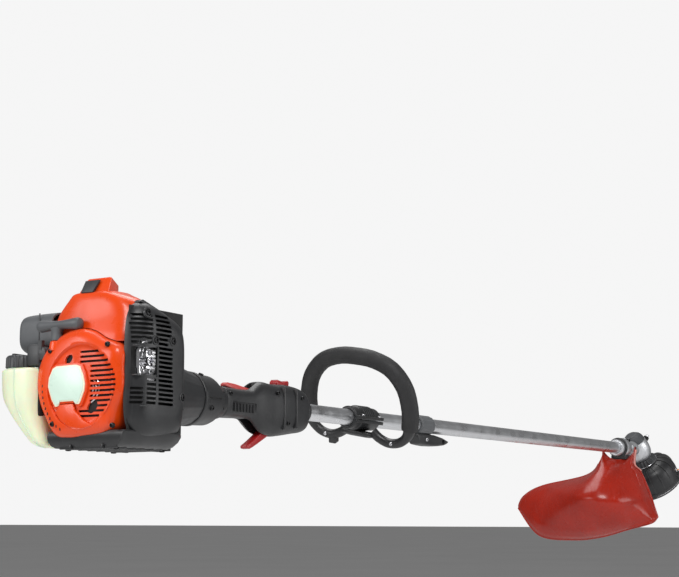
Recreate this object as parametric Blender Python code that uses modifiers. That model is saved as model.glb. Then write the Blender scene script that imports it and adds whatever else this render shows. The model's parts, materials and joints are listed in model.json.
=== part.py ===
"""Petrol string trimmer, laid out along its shaft for storage.

The design frame has +X along the shaft from the engine to the cutting head, +Y to the
left and +Z up. Its origin is where the shaft axis meets the rear face of the recoil
starter. Everything hangs from one empty, which moves the design frame so that the
world origin lies on the shaft axis, where a rack or a stand holds the bare tube.
"""

import math

import bmesh
import bpy
from mathutils import Matrix, Vector

# Place of the whole part: the design frame's origin in world coordinates.
FRAME_ORIGIN = Vector((-0.9700, 0.0, 0.0))
GAP = 0.0004

# Engine
STARTER_DEPTH = 0.042
CYLINDER_X = 0.078
BORE_RADIUS = 0.0170
STROKE = 0.028
CRANK_THROW = STROKE / 2
ROD_LENGTH = 0.050
PISTON_PIN_Z = ROD_LENGTH - CRANK_THROW
ROPE_X = 0.0090
ROPE_Y = 0.0530
GRIP_STEM_Z = 0.0570
FILLER = (0.0140, 0.1150)

# Shaft
TUBE_RADIUS = 0.0120
TUBE_BORE = 0.0104
TUBE_START = 0.1950
TUBE_END = 1.7350
DRIVE_SHAFT_RADIUS = 0.0035
HANDLE_X = 0.6150
HANDLE_ROLL = math.radians(10.5)
HANDLE_LEAN = math.radians(-22.7)

# Gearbox and cutting head, turned about the shaft as clamped
GEAR_X = 1.8300
GEAR_ANGLE = math.radians(55.0)
HEAD_ROLL = math.radians(15.0)
HEAD_RADIUS = 0.0570

# Hinges of the rear handle, in the plane y = 0
TRIGGER_PIN = Vector((0.3640, 0.0, -0.0225))
LOCKOUT_PIN = Vector((0.3270, 0.0, 0.0165))
SWITCH_PIN = Vector((0.3980, 0.0, 0.0270))

ORANGE = (0.90, 0.14, 0.02)
GUARD_RED = (0.62, 0.07, 0.015)
BLACK = (0.025, 0.026, 0.028)
DARK_GREY = (0.07, 0.072, 0.076)
MID_GREY = (0.20, 0.205, 0.21)
TRIGGER_RED = (0.45, 0.02, 0.02)
LOCKOUT_PINK = (0.75, 0.16, 0.15)
TANK_WHITE = (0.78, 0.86, 0.70)
STEEL = (0.62, 0.62, 0.64)
ALUMINIUM = (0.74, 0.75, 0.77)
NYLON = (0.80, 0.78, 0.70)
ROPE_GREY = (0.30, 0.30, 0.30)

PARTS = None
CUTTERS = None
ROOT = None
HEAD = None


def clear_scene():
    for obj in list(bpy.data.objects):
        bpy.data.objects.remove(obj, do_unlink=True)
    for collection in list(bpy.data.collections):
        bpy.data.collections.remove(collection)


def make_frame():
    """Makes the collections, the root empty and the empty on the head's axis."""
    global PARTS, CUTTERS, ROOT, HEAD
    PARTS = bpy.data.collections.new("string_trimmer")
    CUTTERS = bpy.data.collections.new("cutters")
    for collection in (PARTS, CUTTERS):
        bpy.context.scene.collection.children.link(collection)
    ROOT = bpy.data.objects.new("trimmer_root", None)
    ROOT.location = FRAME_ORIGIN
    PARTS.objects.link(ROOT)
    HEAD = bpy.data.objects.new("head_axis", None)
    HEAD.parent = ROOT
    HEAD.location = (GEAR_X, 0.0, 0.0)
    # Local +Z runs from the head up to the gearbox cap, local +Y to the left.
    lean = Matrix.Rotation(-(math.pi / 2 - GEAR_ANGLE), 4, "Y")
    HEAD.rotation_euler = (Matrix.Rotation(-HEAD_ROLL, 4, "X") @ lean).to_euler()
    PARTS.objects.link(HEAD)


def material(name, colour, roughness, metallic):
    found = bpy.data.materials.get(name)
    if found:
        return found
    made = bpy.data.materials.new(name)
    made.use_nodes = True
    shader = made.node_tree.nodes["Principled BSDF"]
    shader.inputs["Base Color"].default_value = (*colour, 1.0)
    shader.inputs["Roughness"].default_value = roughness
    shader.inputs["Metallic"].default_value = metallic
    return made


def finish(obj, colour, roughness=0.5, metallic=0.0, parent=None):
    """Puts a solid in the parts collection with its own material."""
    obj.data.materials.append(material(f"{obj.name}_finish", colour, roughness, metallic))
    if obj.name not in PARTS.objects:
        PARTS.objects.link(obj)
    obj.parent = parent or ROOT
    return obj


def tool(obj, parent=None):
    """Puts a cutter out of the model's way."""
    CUTTERS.objects.link(obj)
    obj.parent = parent or ROOT
    obj.hide_render = True
    obj.display_type = "WIRE"
    return obj


def mesh_object(name, bm, smooth=True):
    mesh = bpy.data.meshes.new(name)
    bm.to_mesh(mesh)
    bm.free()
    if smooth:
        mesh.shade_smooth()
        mesh.set_sharp_from_angle(angle=math.radians(35))
    return bpy.data.objects.new(name, mesh)


def box(name, low, high, bevel=0.0):
    low = Vector(low)
    high = Vector(high)
    bm = bmesh.new()
    size = Matrix.Diagonal((*(high - low), 1.0))
    bmesh.ops.create_cube(bm, size=1.0, matrix=Matrix.Translation((low + high) / 2) @ size)
    obj = mesh_object(name, bm, smooth=False)
    if bevel:
        rounding = obj.modifiers.new("rounding", "BEVEL")
        rounding.width = bevel
        rounding.segments = 2
    return obj


def rod(name, radius, start, end, sides=16, end_radius=None):
    """A cylinder, or a cone frustum, between two points."""
    start = Vector(start)
    end = Vector(end)
    axis = end - start
    turn = axis.to_track_quat("Z", "Y").to_matrix().to_4x4()
    bm = bmesh.new()
    bmesh.ops.create_cone(
        bm,
        cap_ends=True,
        segments=sides,
        radius1=radius,
        radius2=end_radius or radius,
        depth=axis.length,
        matrix=Matrix.Translation((start + end) / 2) @ turn,
    )
    return mesh_object(name, bm)


def turned(name, profile, origin=(0, 0, 0), axis=(0, 0, 1), steps=20):
    """Turns a profile of (radius, height) pairs, outer side first and top to bottom.

    A profile that ends off the axis is closed back to its first point, as a ring.
    """
    bm = bmesh.new()
    points = [bm.verts.new((radius, 0.0, height)) for radius, height in profile]
    for first, second in zip(points, points[1:]):
        bm.edges.new((first, second))
    if profile[0][0] > 0.0:
        bm.edges.new((points[-1], points[0]))
    obj = mesh_object(name, bm, smooth=False)
    screw = obj.modifiers.new("turn", "SCREW")
    screw.steps = steps
    screw.render_steps = steps
    screw.use_merge_vertices = True
    screw.merge_threshold = 0.00001
    obj.location = origin
    obj.rotation_euler = Vector(axis).to_track_quat("Z", "Y").to_euler()
    return obj


def ring(name, outer, inner, start, end, steps=20):
    """A plain tube from one point to another."""
    start = Vector(start)
    end = Vector(end)
    length = (end - start).length
    profile = [(outer, length), (outer, 0.0), (inner, 0.0), (inner, length)]
    return turned(name, profile, start, end - start, steps)


def to_mesh_object(curve):
    """Replaces a curve by a welded mesh, so that it can be cut or can cut."""
    bpy.context.view_layer.update()
    graph = bpy.context.evaluated_depsgraph_get()
    mesh = bpy.data.meshes.new_from_object(curve.evaluated_get(graph))
    name = curve.name
    place = curve.matrix_world.copy()
    bpy.data.objects.remove(curve, do_unlink=True)
    bm = bmesh.new()
    bm.from_mesh(mesh)
    bmesh.ops.remove_doubles(bm, verts=bm.verts, dist=0.00001)
    bm.to_mesh(mesh)
    bm.free()
    solid = bpy.data.objects.new(name, mesh)
    solid.matrix_world = place
    return solid


def pipe(name, points, radius, resolution=2, tapers=None):
    """A round bar along points, as thick at each point as its taper says."""
    data = bpy.data.curves.new(name, "CURVE")
    data.dimensions = "3D"
    data.bevel_depth = radius
    data.bevel_resolution = resolution
    data.use_fill_caps = True
    spline = data.splines.new("POLY")
    spline.points.add(len(points) - 1)
    for index, point in enumerate(points):
        spline.points[index].co = (*point, 1.0)
        spline.points[index].radius = tapers[index] if tapers else 1.0
    curve = bpy.data.objects.new(name, data)
    bpy.context.scene.collection.objects.link(curve)
    return to_mesh_object(curve)


def plate(name, outline, thickness, origin, right, up):
    """A flat outline, given along right and up, with half its thickness on each side."""
    data = bpy.data.curves.new(name, "CURVE")
    data.dimensions = "2D"
    data.fill_mode = "BOTH"
    data.extrude = thickness / 2
    spline = data.splines.new("POLY")
    spline.points.add(len(outline) - 1)
    for index, point in enumerate(outline):
        spline.points[index].co = (point[0], point[1], 0.0, 1.0)
    spline.use_cyclic_u = True
    curve = bpy.data.objects.new(name, data)
    right = Vector(right)
    up = Vector(up)
    turn = Matrix((right, up, right.cross(up))).transposed().to_4x4()
    curve.matrix_world = Matrix.Translation(origin) @ turn
    bpy.context.scene.collection.objects.link(curve)
    return to_mesh_object(curve)


def smooth_path(points, per_span=6):
    """Points along a Catmull-Rom curve through the given ones."""
    points = [Vector(point) for point in points]
    padded = [2 * points[0] - points[1], *points, 2 * points[-1] - points[-2]]
    path = []
    for index in range(1, len(padded) - 2):
        before, start, end, after = padded[index - 1 : index + 3]
        for step in range(per_span):
            t = step / per_span
            path.append(
                0.5
                * (
                    2 * start
                    + (end - before) * t
                    + (2 * before - 5 * start + 4 * end - after) * t**2
                    + (3 * start - before - 3 * end + after) * t**3
                )
            )
    path.append(points[-1])
    return path


def round_section(centre, half_width, half_height, power=2.6, count=20):
    """A superellipse about (u, v), as a list of (u, v) pairs."""
    section = []
    for index in range(count):
        angle = 2 * math.pi * index / count
        cosine = math.cos(angle)
        sine = math.sin(angle)
        u = centre[0] + half_width * math.copysign(abs(cosine) ** (2 / power), cosine)
        v = centre[1] + half_height * math.copysign(abs(sine) ** (2 / power), sine)
        section.append((u, v))
    return section


def loft(name, rings, cap_start=True, cap_end=True):
    """Skins closed rings of points, with a face across each end that is capped."""
    bm = bmesh.new()
    rows = [[bm.verts.new(point) for point in points] for points in rings]
    count = len(rows[0])
    for row, following in zip(rows, rows[1:]):
        for index in range(count):
            after = (index + 1) % count
            bm.faces.new((row[index], row[after], following[after], following[index]))
    if cap_start:
        bm.faces.new(list(reversed(rows[0])))
    if cap_end:
        bm.faces.new(rows[-1])
    bmesh.ops.recalc_face_normals(bm, faces=bm.faces)
    return mesh_object(name, bm)


def hollow(obj, thickness, inward=True):
    """Gives an open surface a wall."""
    wall = obj.modifiers.new("wall", "SOLIDIFY")
    wall.thickness = thickness
    wall.offset = -1.0 if inward else 1.0
    wall.use_even_offset = True
    return obj


def dish(name, rings, thickness, flip=False):
    """A cup with its closed end at the first ring and its mouth at the last."""
    obj = loft(name, rings, cap_start=True, cap_end=False)
    if flip:
        bm = bmesh.new()
        bm.from_mesh(obj.data)
        bmesh.ops.reverse_faces(bm, faces=bm.faces)
        bm.to_mesh(obj.data)
        bm.free()
    return hollow(obj, thickness)


def cut(obj, *cutters):
    for cutter in cutters:
        step = obj.modifiers.new(f"cut_{cutter.name}", "BOOLEAN")
        step.operation = "DIFFERENCE"
        step.object = cutter
    return obj


def join(obj, *others):
    for other in others:
        step = obj.modifiers.new(f"join_{other.name}", "BOOLEAN")
        step.operation = "UNION"
        step.object = other
    return obj


def keep(obj, region):
    step = obj.modifiers.new(f"keep_{region.name}", "BOOLEAN")
    step.operation = "INTERSECT"
    step.object = region
    return obj


def toothed_outline(root, tip, teeth):
    """A gear or fan outline, four points to a tooth."""
    outline = []
    for tooth in range(teeth):
        for share, radius in ((0.0, root), (0.30, root), (0.45, tip), (0.85, tip)):
            angle = 2 * math.pi * (tooth + share) / teeth
            outline.append((radius * math.cos(angle), radius * math.sin(angle)))
    return outline


# ---------------------------------------------------------------- recoil starter


def starter_ring(x, grow):
    section = round_section((0.0100, 0.0025), 0.0600 + grow, 0.0600 + grow)
    return [(x, y, z) for y, z in section]


def starter_housing():
    rings = [
        starter_ring(0.0, -0.016),
        starter_ring(0.0015, -0.008),
        starter_ring(0.006, -0.002),
        starter_ring(0.014, 0.0),
        starter_ring(STARTER_DEPTH, 0.0),
    ]
    shell = dish("starter_housing", rings, 0.0024)
    hole = tool(rod("rope_hole", 0.0032, (ROPE_X, ROPE_Y, 0.02), (ROPE_X, ROPE_Y, 0.07), 12))
    axle = rod("starter_axle", 0.0032, (0.0010, 0, 0), (0.0180, 0, 0), 16)
    low = (ROPE_X, ROPE_Y, 0.0440)
    collar = rod("rope_collar", 0.0085, low, (ROPE_X, ROPE_Y, 0.0560), 16, 0.0075)
    join(shell, tool(axle), tool(collar))
    cut(shell, hole)
    for index in range(7):
        z = -0.024 + 0.0090 * index
        reach = 0.038 * math.sqrt(1 - (z / 0.052) ** 2)
        slot = box(f"louvre_{index}", (-0.004, -reach, z), (0.0035, -0.0045, z + 0.0042))
        cut(shell, tool(slot))
    finish(shell, ORANGE, 0.32)


def starter_spool():
    profile = [(0.030, 0.0085), (0.030, 0.0068), (0.0215, 0.0068), (0.0215, 0.0018)]
    profile += [(0.030, 0.0018), (0.030, 0.0), (0.0038, 0.0), (0.0038, 0.0085)]
    pulley = turned("starter_pulley", profile, (0.0085, 0, 0), (1, 0, 0))
    finish(pulley, NYLON, 0.5)
    spiral = []
    for step in range(41):
        angle = 2 * math.pi * 3 * step / 40
        radius = 0.0060 + 0.0130 * step / 40
        spiral.append((0.0056, radius * math.cos(angle), radius * math.sin(angle)))
    finish(pipe("recoil_spring", spiral, 0.0010, 0), STEEL, 0.35, 1.0)


def starter_pull():
    rope = rod("starter_rope", 0.0014, (ROPE_X, ROPE_Y, 0.034), (ROPE_X, ROPE_Y, GRIP_STEM_Z), 8)
    finish(rope, ROPE_GREY, 0.9)
    stem = [(0.0, 0.019), (0.0060, 0.017), (0.0052, 0.008), (0.0070, 0.0), (0.0, 0.0)]
    grip = turned("starter_grip", stem, (ROPE_X, ROPE_Y, GRIP_STEM_Z + GAP), (0, 0, 1), 20)
    bar = rod("grip_bar", 0.0068, (0, -0.031, 0), (0, 0.031, 0), 16)
    bar.location = (ROPE_X, ROPE_Y - 0.004, GRIP_STEM_Z + 0.019)
    join(grip, tool(bar))
    finish(grip, MID_GREY, 0.55)


# ------------------------------------------------------------------------ engine


def crankshaft():
    rear = rod("crankshaft_rear", 0.0055, (0.0190, 0, 0), (0.0640, 0, 0))
    web = rod("rear_web", 0.0215, (0.0620, 0, 0), (0.0700, 0, 0), 32)
    pin = rod("rear_pin", 0.0050, (0.0690, 0, -CRANK_THROW), (0.0738, 0, -CRANK_THROW))
    join(rear, tool(web), tool(pin))
    finish(rear, STEEL, 0.3, 1.0)
    front = rod("crankshaft_front", 0.0055, (0.0920, 0, 0), (0.1490, 0, 0))
    web = rod("front_web", 0.0215, (0.0860, 0, 0), (0.0940, 0, 0), 32)
    pin = rod("front_pin", 0.0050, (0.0822, 0, -CRANK_THROW), (0.0870, 0, -CRANK_THROW))
    join(front, tool(web), tool(pin))
    finish(front, STEEL, 0.3, 1.0)


def piston_group():
    profile = [(0.0, 0.0120), (0.0163, 0.0120), (0.0166, -0.0100), (0.0138, -0.0100)]
    profile += [(0.0138, 0.0080), (0.0, 0.0080)]
    centre = (CYLINDER_X, 0, PISTON_PIN_Z)
    piston = turned("piston", profile, centre)
    pin = rod("piston_pin", 0.0039, (-0.0150, 0, 0), (0.0150, 0, 0), 16)
    pin.location = centre
    finish(join(piston, tool(pin)), ALUMINIUM, 0.35, 1.0)
    low = (0.0752, -0.0040, -CRANK_THROW)
    high = (0.0808, 0.0040, PISTON_PIN_Z)
    link = box("connecting_rod", low, high)
    big = rod("big_end", 0.0085, (0.0742, 0, -CRANK_THROW), (0.0818, 0, -CRANK_THROW))
    small = rod("small_end", 0.0070, (0.0742, 0, PISTON_PIN_Z), (0.0818, 0, PISTON_PIN_Z))
    join(link, tool(big), tool(small))
    big_eye = rod("big_eye", 0.0054, (0.070, 0, -CRANK_THROW), (0.086, 0, -CRANK_THROW))
    small_eye = rod("small_eye", 0.0043, (0.070, 0, PISTON_PIN_Z), (0.086, 0, PISTON_PIN_Z), 16)
    cut(link, tool(big_eye), tool(small_eye))
    finish(link, STEEL, 0.35, 1.0)


def crankcase():
    case = box("crankcase", (0.0530, -0.0320, -0.0340), (0.1030, 0.0320, 0.0300), 0.004)
    chamber = rod("crank_chamber", 0.0235, (0.0600, 0, 0), (0.0960, 0, 0), 32)
    journal = rod("journal_bore", 0.0062, (0.0400, 0, 0), (0.1200, 0, 0))
    mouth = rod("cylinder_mouth", 0.0172, (CYLINDER_X, 0, 0), (CYLINDER_X, 0, 0.05))
    cut(case, tool(chamber), tool(journal), tool(mouth))
    finish(case, ALUMINIUM, 0.55, 0.9)


def cylinder():
    """The barrel with its cooling fins, from its open foot to the plug's hole."""
    fins = [(0.0062, 0.0940), (0.0200, 0.0940)]
    height = 0.0920
    while height > 0.0430:
        fins += [(0.0310, height), (0.0310, height - 0.0026)]
        fins += [(0.0215, height - 0.0026), (0.0215, height - 0.0110)]
        height -= 0.0110
    fins += [(0.0215, 0.0340), (0.0290, 0.0340), (0.0290, 0.0304), (BORE_RADIUS, 0.0304)]
    fins += [(BORE_RADIUS, 0.0860), (0.0062, 0.0860)]
    finish(turned("cylinder", fins, (CYLINDER_X, 0, 0), steps=20), ALUMINIUM, 0.6, 0.9)


def ignition():
    profile = [(0.0, 0.0150), (0.0022, 0.0150), (0.0022, 0.0135), (0.0050, 0.0125)]
    profile += [(0.0050, 0.0080), (0.0095, 0.0080), (0.0095, 0.0038), (0.0056, 0.0038)]
    profile += [(0.0056, -0.0060), (0.0, -0.0060)]
    plug = turned("spark_plug", profile, (CYLINDER_X, 0, 0.0905), (0, 0, 1), 16)
    finish(plug, STEEL, 0.35, 0.8)
    shape = [(0.0, 0.0100), (0.0070, 0.0090), (0.0085, 0.0), (0.0056, 0.0)]
    shape += [(0.0056, 0.0060), (0.0, 0.0078)]
    boot = turned("plug_boot", shape, (CYLINDER_X, 0, 0.0993), (0, 0, 1), 16)
    coil = box("ignition_coil", (0.0260, -0.0120, 0.0485), (0.0380, 0.0120, 0.0570), 0.002)
    finish(coil, BLACK, 0.5)
    route = [(0.0420, 0.0, 0.0545), (0.0448, 0.006, 0.0560), (0.0458, 0.014, 0.0620)]
    route += [(0.0454, 0.015, 0.0780), (0.0460, 0.014, 0.0920), (0.0540, 0.010, 0.1030)]
    route += [(0.0630, 0.002, 0.1040), (0.0705, 0.0, 0.1040)]
    lead = pipe("ignition_lead", smooth_path(route, 3), 0.0025, 1)
    finish(join(lead, tool(boot)), BLACK, 0.6)
    outline = toothed_outline(0.036, 0.047, 14)
    wheel = plate("flywheel", outline, 0.014, (0.0330, 0, 0), (0, 1, 0), (0, 0, 1))
    cut(wheel, tool(rod("flywheel_bore", 0.0059, (0.02, 0, 0), (0.05, 0, 0))))
    finish(wheel, ALUMINIUM, 0.45, 0.9)


def exhaust():
    can = box("muffler", (0.0440, -0.0545, 0.0060), (0.0920, -0.0345, 0.0600))
    outlet = rod("muffler_outlet", 0.0045, (0.058, -0.046, 0.050), (0.058, -0.070, 0.050))
    inlet = rod("muffler_inlet", 0.0080, (0.078, -0.046, 0.044), (0.078, -0.030, 0.044))
    cavity = box("muffler_cavity", (0.0460, -0.0525, 0.0080), (0.0900, -0.0365, 0.0580))
    cut(can, tool(cavity), tool(outlet), tool(inlet))
    finish(can, STEEL, 0.18, 1.0)
    rings = []
    for y, x0, x1, z0, z1 in (
        (-0.0680, 0.0400, 0.0940, -0.0340, 0.0780),
        (-0.0655, 0.0280, 0.1040, -0.0450, 0.0880),
        (-0.0600, 0.0185, 0.1150, -0.0530, 0.0960),
        (-0.0515, 0.0130, 0.1205, -0.0570, 0.1000),
    ):
        section = round_section(((x0 + x1) / 2, (z0 + z1) / 2), (x1 - x0) / 2, (z1 - z0) / 2, 4.0)
        rings.append([(x, y + 0.36 * max(0.0, x - 0.094), z) for x, z in section])
    cover = dish("muffler_cover", rings, 0.0022)
    for index in range(6):
        z = -0.014 + 0.0130 * index
        slot = box(f"cooling_slot_{index}", (0.056, -0.095, z), (0.094, -0.047, z + 0.0045))
        cut(cover, tool(slot))
    window = box("exhaust_window", (0.0285, -0.0950, 0.0140), (0.0480, -0.0530, 0.0450))
    cut(cover, tool(window))
    finish(cover, BLACK, 0.5)


def top_cover():
    """The hood over the cylinder, with its raised block above the spark plug."""
    rings = []
    for z, x0, x1, y0, y1, power in (
        (0.1325, 0.0350, 0.0890, 0.0000, 0.0280, 5.0),
        (0.1310, 0.0310, 0.0930, -0.0040, 0.0330, 5.0),
        (0.1160, 0.0270, 0.0980, -0.0060, 0.0500, 5.0),
        (0.1100, 0.0230, 0.1060, -0.0200, 0.0600, 4.5),
        (0.1030, 0.0210, 0.1110, -0.0350, 0.0680, 4.5),
        (0.0900, 0.0190, 0.1140, -0.0430, 0.0765, 4.5),
        (0.0645, 0.0180, 0.1145, -0.0440, 0.0770, 4.5),
    ):
        centre = ((x0 + x1) / 2, (y0 + y1) / 2)
        section = round_section(centre, (x1 - x0) / 2, (y1 - y0) / 2, power)
        rings.append([(x, y, z) for x, y in section])
    hood = dish("top_cover", rings, 0.0022)
    finish(hood, ORANGE, 0.3)


def intake():
    body = box("carburettor", (0.0620, 0.0420, 0.0400), (0.0940, 0.0600, 0.0620), 0.002)
    throat = rod("carburettor_throat", 0.0065, (0.078, 0.03, 0.051), (0.078, 0.07, 0.051), 16)
    manifold = rod("intake_stub", 0.0100, (0.078, 0.0325, 0.051), (0.078, 0.0430, 0.051), 20)
    join(body, tool(manifold))
    cut(body, tool(throat))
    finish(body, ALUMINIUM, 0.4, 0.9)
    lever = plate(
        "carb_throttle_lever",
        [(-0.004, -0.004), (0.004, -0.004), (0.0035, 0.012), (-0.0035, 0.012)],
        0.0016,
        (0.0960, 0.0510, 0.0510),
        (0, 1, 0),
        (0, 0, 1),
    )
    finish(lever, STEEL, 0.35, 1.0)
    case = box("filter_box", (0.0480, 0.0606, 0.0380), (0.1080, 0.0780, 0.0620), 0.003)
    join(case, tool(box("choke_mount", (0.0204, 0.0750, 0.0330), (0.0500, 0.0830, 0.0470))))
    hole = rod("filter_hole", 0.0065, (0.078, 0.05, 0.051), (0.078, 0.09, 0.051), 16)
    cut(case, tool(hole))
    finish(case, DARK_GREY, 0.5)
    element = box("air_filter", (0.0500, 0.0784, 0.0540), (0.1000, 0.1000, 0.0900), 0.002)
    finish(element, (0.75, 0.72, 0.62), 0.95)
    rings = []
    for y, grow in ((0.1360, -0.010), (0.1340, -0.004), (0.1280, 0.0), (0.0800, 0.0)):
        section = round_section((0.0740, 0.0730), 0.0450 + grow, 0.0250 + grow, 4.0)
        rings.append([(x, y, z) for x, z in section])
    finish(dish("air_filter_cover", rings, 0.0022), MID_GREY, 0.55)
    knob = [(0.0, 0.012), (0.0080, 0.010), (0.0090, 0.0), (0.0, 0.0)]
    lever = turned("choke_lever", knob, (0.0200, 0.0800, 0.0445), (-1, 0, 0), 16)
    paddle = box("choke_paddle", (0.0090, 0.0770, 0.0440), (0.0140, 0.0830, 0.0600))
    finish(join(lever, tool(paddle)), DARK_GREY, 0.5)
    bulb = [(0.0, 0.0080), (0.0055, 0.0060), (0.0080, 0.0), (0.0, 0.0)]
    primer = turned("primer_bulb", bulb, (0.1120, 0.0690, 0.0500), (1, 0, 0), 16)
    finish(primer, (0.75, 0.72, 0.65), 0.2)


def fuel_tank():
    rings = []
    for z, x0, x1, y0, y1 in (
        (0.0275, -0.0010, 0.0820, 0.0800, 0.1290),
        (0.0245, -0.0060, 0.0870, 0.0755, 0.1340),
        (-0.0050, -0.0060, 0.0880, 0.0755, 0.1310),
        (-0.0220, -0.0050, 0.0880, 0.0755, 0.1210),
        (-0.0390, -0.0020, 0.0880, 0.0735, 0.1080),
        (-0.0550, 0.0020, 0.0860, 0.0665, 0.0960),
        (-0.0630, 0.0060, 0.0820, 0.0655, 0.0880),
        (-0.0660, 0.0120, 0.0760, 0.0670, 0.0800),
    ):
        section = round_section(((x0 + x1) / 2, (y0 + y1) / 2), (x1 - x0) / 2, (y1 - y0) / 2, 4.5)
        rings.append([(x, y, z) for x, y in section])
    tank = hollow(loft("fuel_tank", rings), 0.0022)
    neck = rod("filler_neck", 0.0145, (*FILLER, 0.0190), (*FILLER, 0.0280))
    hole = rod("filler_hole", 0.0120, (*FILLER, 0.0100), (*FILLER, 0.0400))
    join(tank, tool(neck))
    cut(tank, tool(hole))
    finish(tank, TANK_WHITE, 0.35)
    profile = [(0.0, 0.0155), (0.0155, 0.0155), (0.0170, 0.0135), (0.0170, 0.0)]
    profile += [(0.0108, 0.0), (0.0108, -0.0070), (0.0, -0.0070)]
    finish(turned("fuel_cap", profile, (*FILLER, 0.0285)), DARK_GREY, 0.55)


def engine_base():
    outline = [(0.0020, 0.0550), (0.0080, 0.0620), (0.0900, 0.0620), (0.1240, 0.0300)]
    outline += [(0.1240, -0.0300), (0.1000, -0.0480), (0.0200, -0.0440), (0.0020, -0.0340)]
    floor = plate("engine_base", outline, 0.0095, (0, 0, -0.0633), (1, 0, 0), (0, 1, 0))
    finish(floor, BLACK, 0.55)


# ------------------------------------------------------- clutch and shaft coupling


def clutch():
    hub = ring("clutch_hub", 0.0130, 0.0059, (0.1290, 0, 0), (0.1450, 0, 0))
    for name, sign in (("upper_shoe", 1), ("lower_shoe", -1)):
        arc = [math.radians(angle) for angle in range(12, 169, 12)]
        outline = [(0.0265 * math.cos(angle), sign * 0.0265 * math.sin(angle)) for angle in arc]
        outline += [
            (0.0120 * math.cos(angle), sign * 0.0120 * math.sin(angle)) for angle in reversed(arc)
        ]
        shoe = plate(name, outline, 0.0140, (0.1370, 0, 0), (0, 1, 0), (0, 0, 1))
        join(hub, tool(shoe))
    finish(hub, STEEL, 0.45, 1.0)
    profile = [(0.0, 0.0460), (0.0086, 0.0460), (0.0086, 0.0290), (0.0310, 0.0290)]
    profile += [(0.0310, 0.0), (0.0285, 0.0), (0.0285, 0.0262), (0.0, 0.0262)]
    drum = turned("clutch_drum", profile, (0.1240, 0, 0), (1, 0, 0))
    socket = box("drum_socket", (0.1590, -0.0027, -0.0027), (0.1800, 0.0027, 0.0027))
    finish(cut(drum, tool(socket)), STEEL, 0.35, 1.0)
    shell = [(0.0330, 0.0680), (0.0440, 0.0055), (0.0415, 0.0055), (0.0340, 0.0400)]
    shell += [(0.0090, 0.0400), (0.0090, 0.0500), (0.0315, 0.0500), (0.0300, 0.0680)]
    housing = turned("clutch_housing", shell, (0.1160, 0, 0), (1, 0, 0))
    notch = box("cable_notch", (0.1680, 0.0060, 0.0180), (0.1850, 0.0240, 0.0400))
    finish(cut(housing, tool(notch)), BLACK, 0.55)
    damper = ring("vibration_damper", 0.0220, TUBE_RADIUS + GAP, (0.2000, 0, 0), (0.2220, 0, 0))
    groove = rod("damper_groove", 0.0040, (0.19, 0.0115, 0.0115), (0.24, 0.0115, 0.0115), 12)
    finish(cut(damper, tool(groove)), BLACK, 0.8)
    profile = [(0.0285, 0.0430), (0.0330, 0.0), (0.0300, 0.0), (0.0255, 0.0430)]
    cover = turned("clutch_cover", profile, (0.1855, 0, 0), (1, 0, 0))
    finish(cover, BLACK, 0.5)
    profile = [(0.0215, 0.0215), (0.0280, 0.0), (0.0250, 0.0), (0.0190, 0.0215)]
    flange = turned("grip_flange", profile, (0.2292, 0, 0), (1, 0, 0))
    finish(flange, BLACK, 0.5)


def shaft():
    tube = ring("shaft_tube", TUBE_RADIUS, TUBE_BORE, (TUBE_START, 0, 0), (TUBE_END, 0, 0))
    finish(tube, ALUMINIUM, 0.28, 1.0)
    core = rod("drive_shaft", DRIVE_SHAFT_RADIUS, (0.1710, 0, 0), (1.7750, 0, 0), 16)
    square = box("drive_square", (0.1600, -0.0023, -0.0023), (0.1740, 0.0023, 0.0023))
    finish(join(core, tool(square)), STEEL, 0.35, 1.0)
    bush = ring("shaft_bush", 0.0101, 0.0039, (0.950, 0, 0), (0.970, 0, 0), 20)
    finish(bush, NYLON, 0.6)


# -------------------------------------------------------------------- rear handle


def handle_body(name):
    """The whole rear handle before it is parted and bored."""
    rings = []
    for x, bottom, top, half_width in (
        (0.2525, -0.0185, 0.0195, 0.0178),
        (0.3000, -0.0182, 0.0200, 0.0178),
        (0.3160, -0.0200, 0.0215, 0.0180),
        (0.3300, -0.0290, 0.0300, 0.0188),
        (0.3420, -0.0360, 0.0325, 0.0195),
        (0.3600, -0.0390, 0.0320, 0.0200),
        (0.3720, -0.0390, 0.0320, 0.0210),
        (0.3950, -0.0360, 0.0335, 0.0220),
        (0.4250, -0.0320, 0.0320, 0.0210),
        (0.4490, -0.0280, 0.0255, 0.0195),
        (0.4700, -0.0180, 0.0180, 0.0170),
    ):
        centre = (0.0, (bottom + top) / 2)
        section = round_section(centre, half_width, (top - bottom) / 2, 2.8, 20)
        rings.append([(x, y, z) for y, z in section])
    return loft(name, rings)


def cable_route():
    route = [(0.1000, 0.0510, 0.0580), (0.118, 0.0460, 0.0560), (0.140, 0.0380, 0.0500)]
    route += [(0.165, 0.0180, 0.0375), (0.180, 0.0130, 0.0260), (0.197, 0.0115, 0.0120)]
    route += [(0.250, 0.0115, 0.0115), (0.318, 0.0115, 0.0115), (0.340, 0.0150, 0.0030)]
    route += [(0.352, 0.0150, -0.0080), (0.360, 0.0115, -0.0175)]
    return smooth_path(route, 3)


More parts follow.
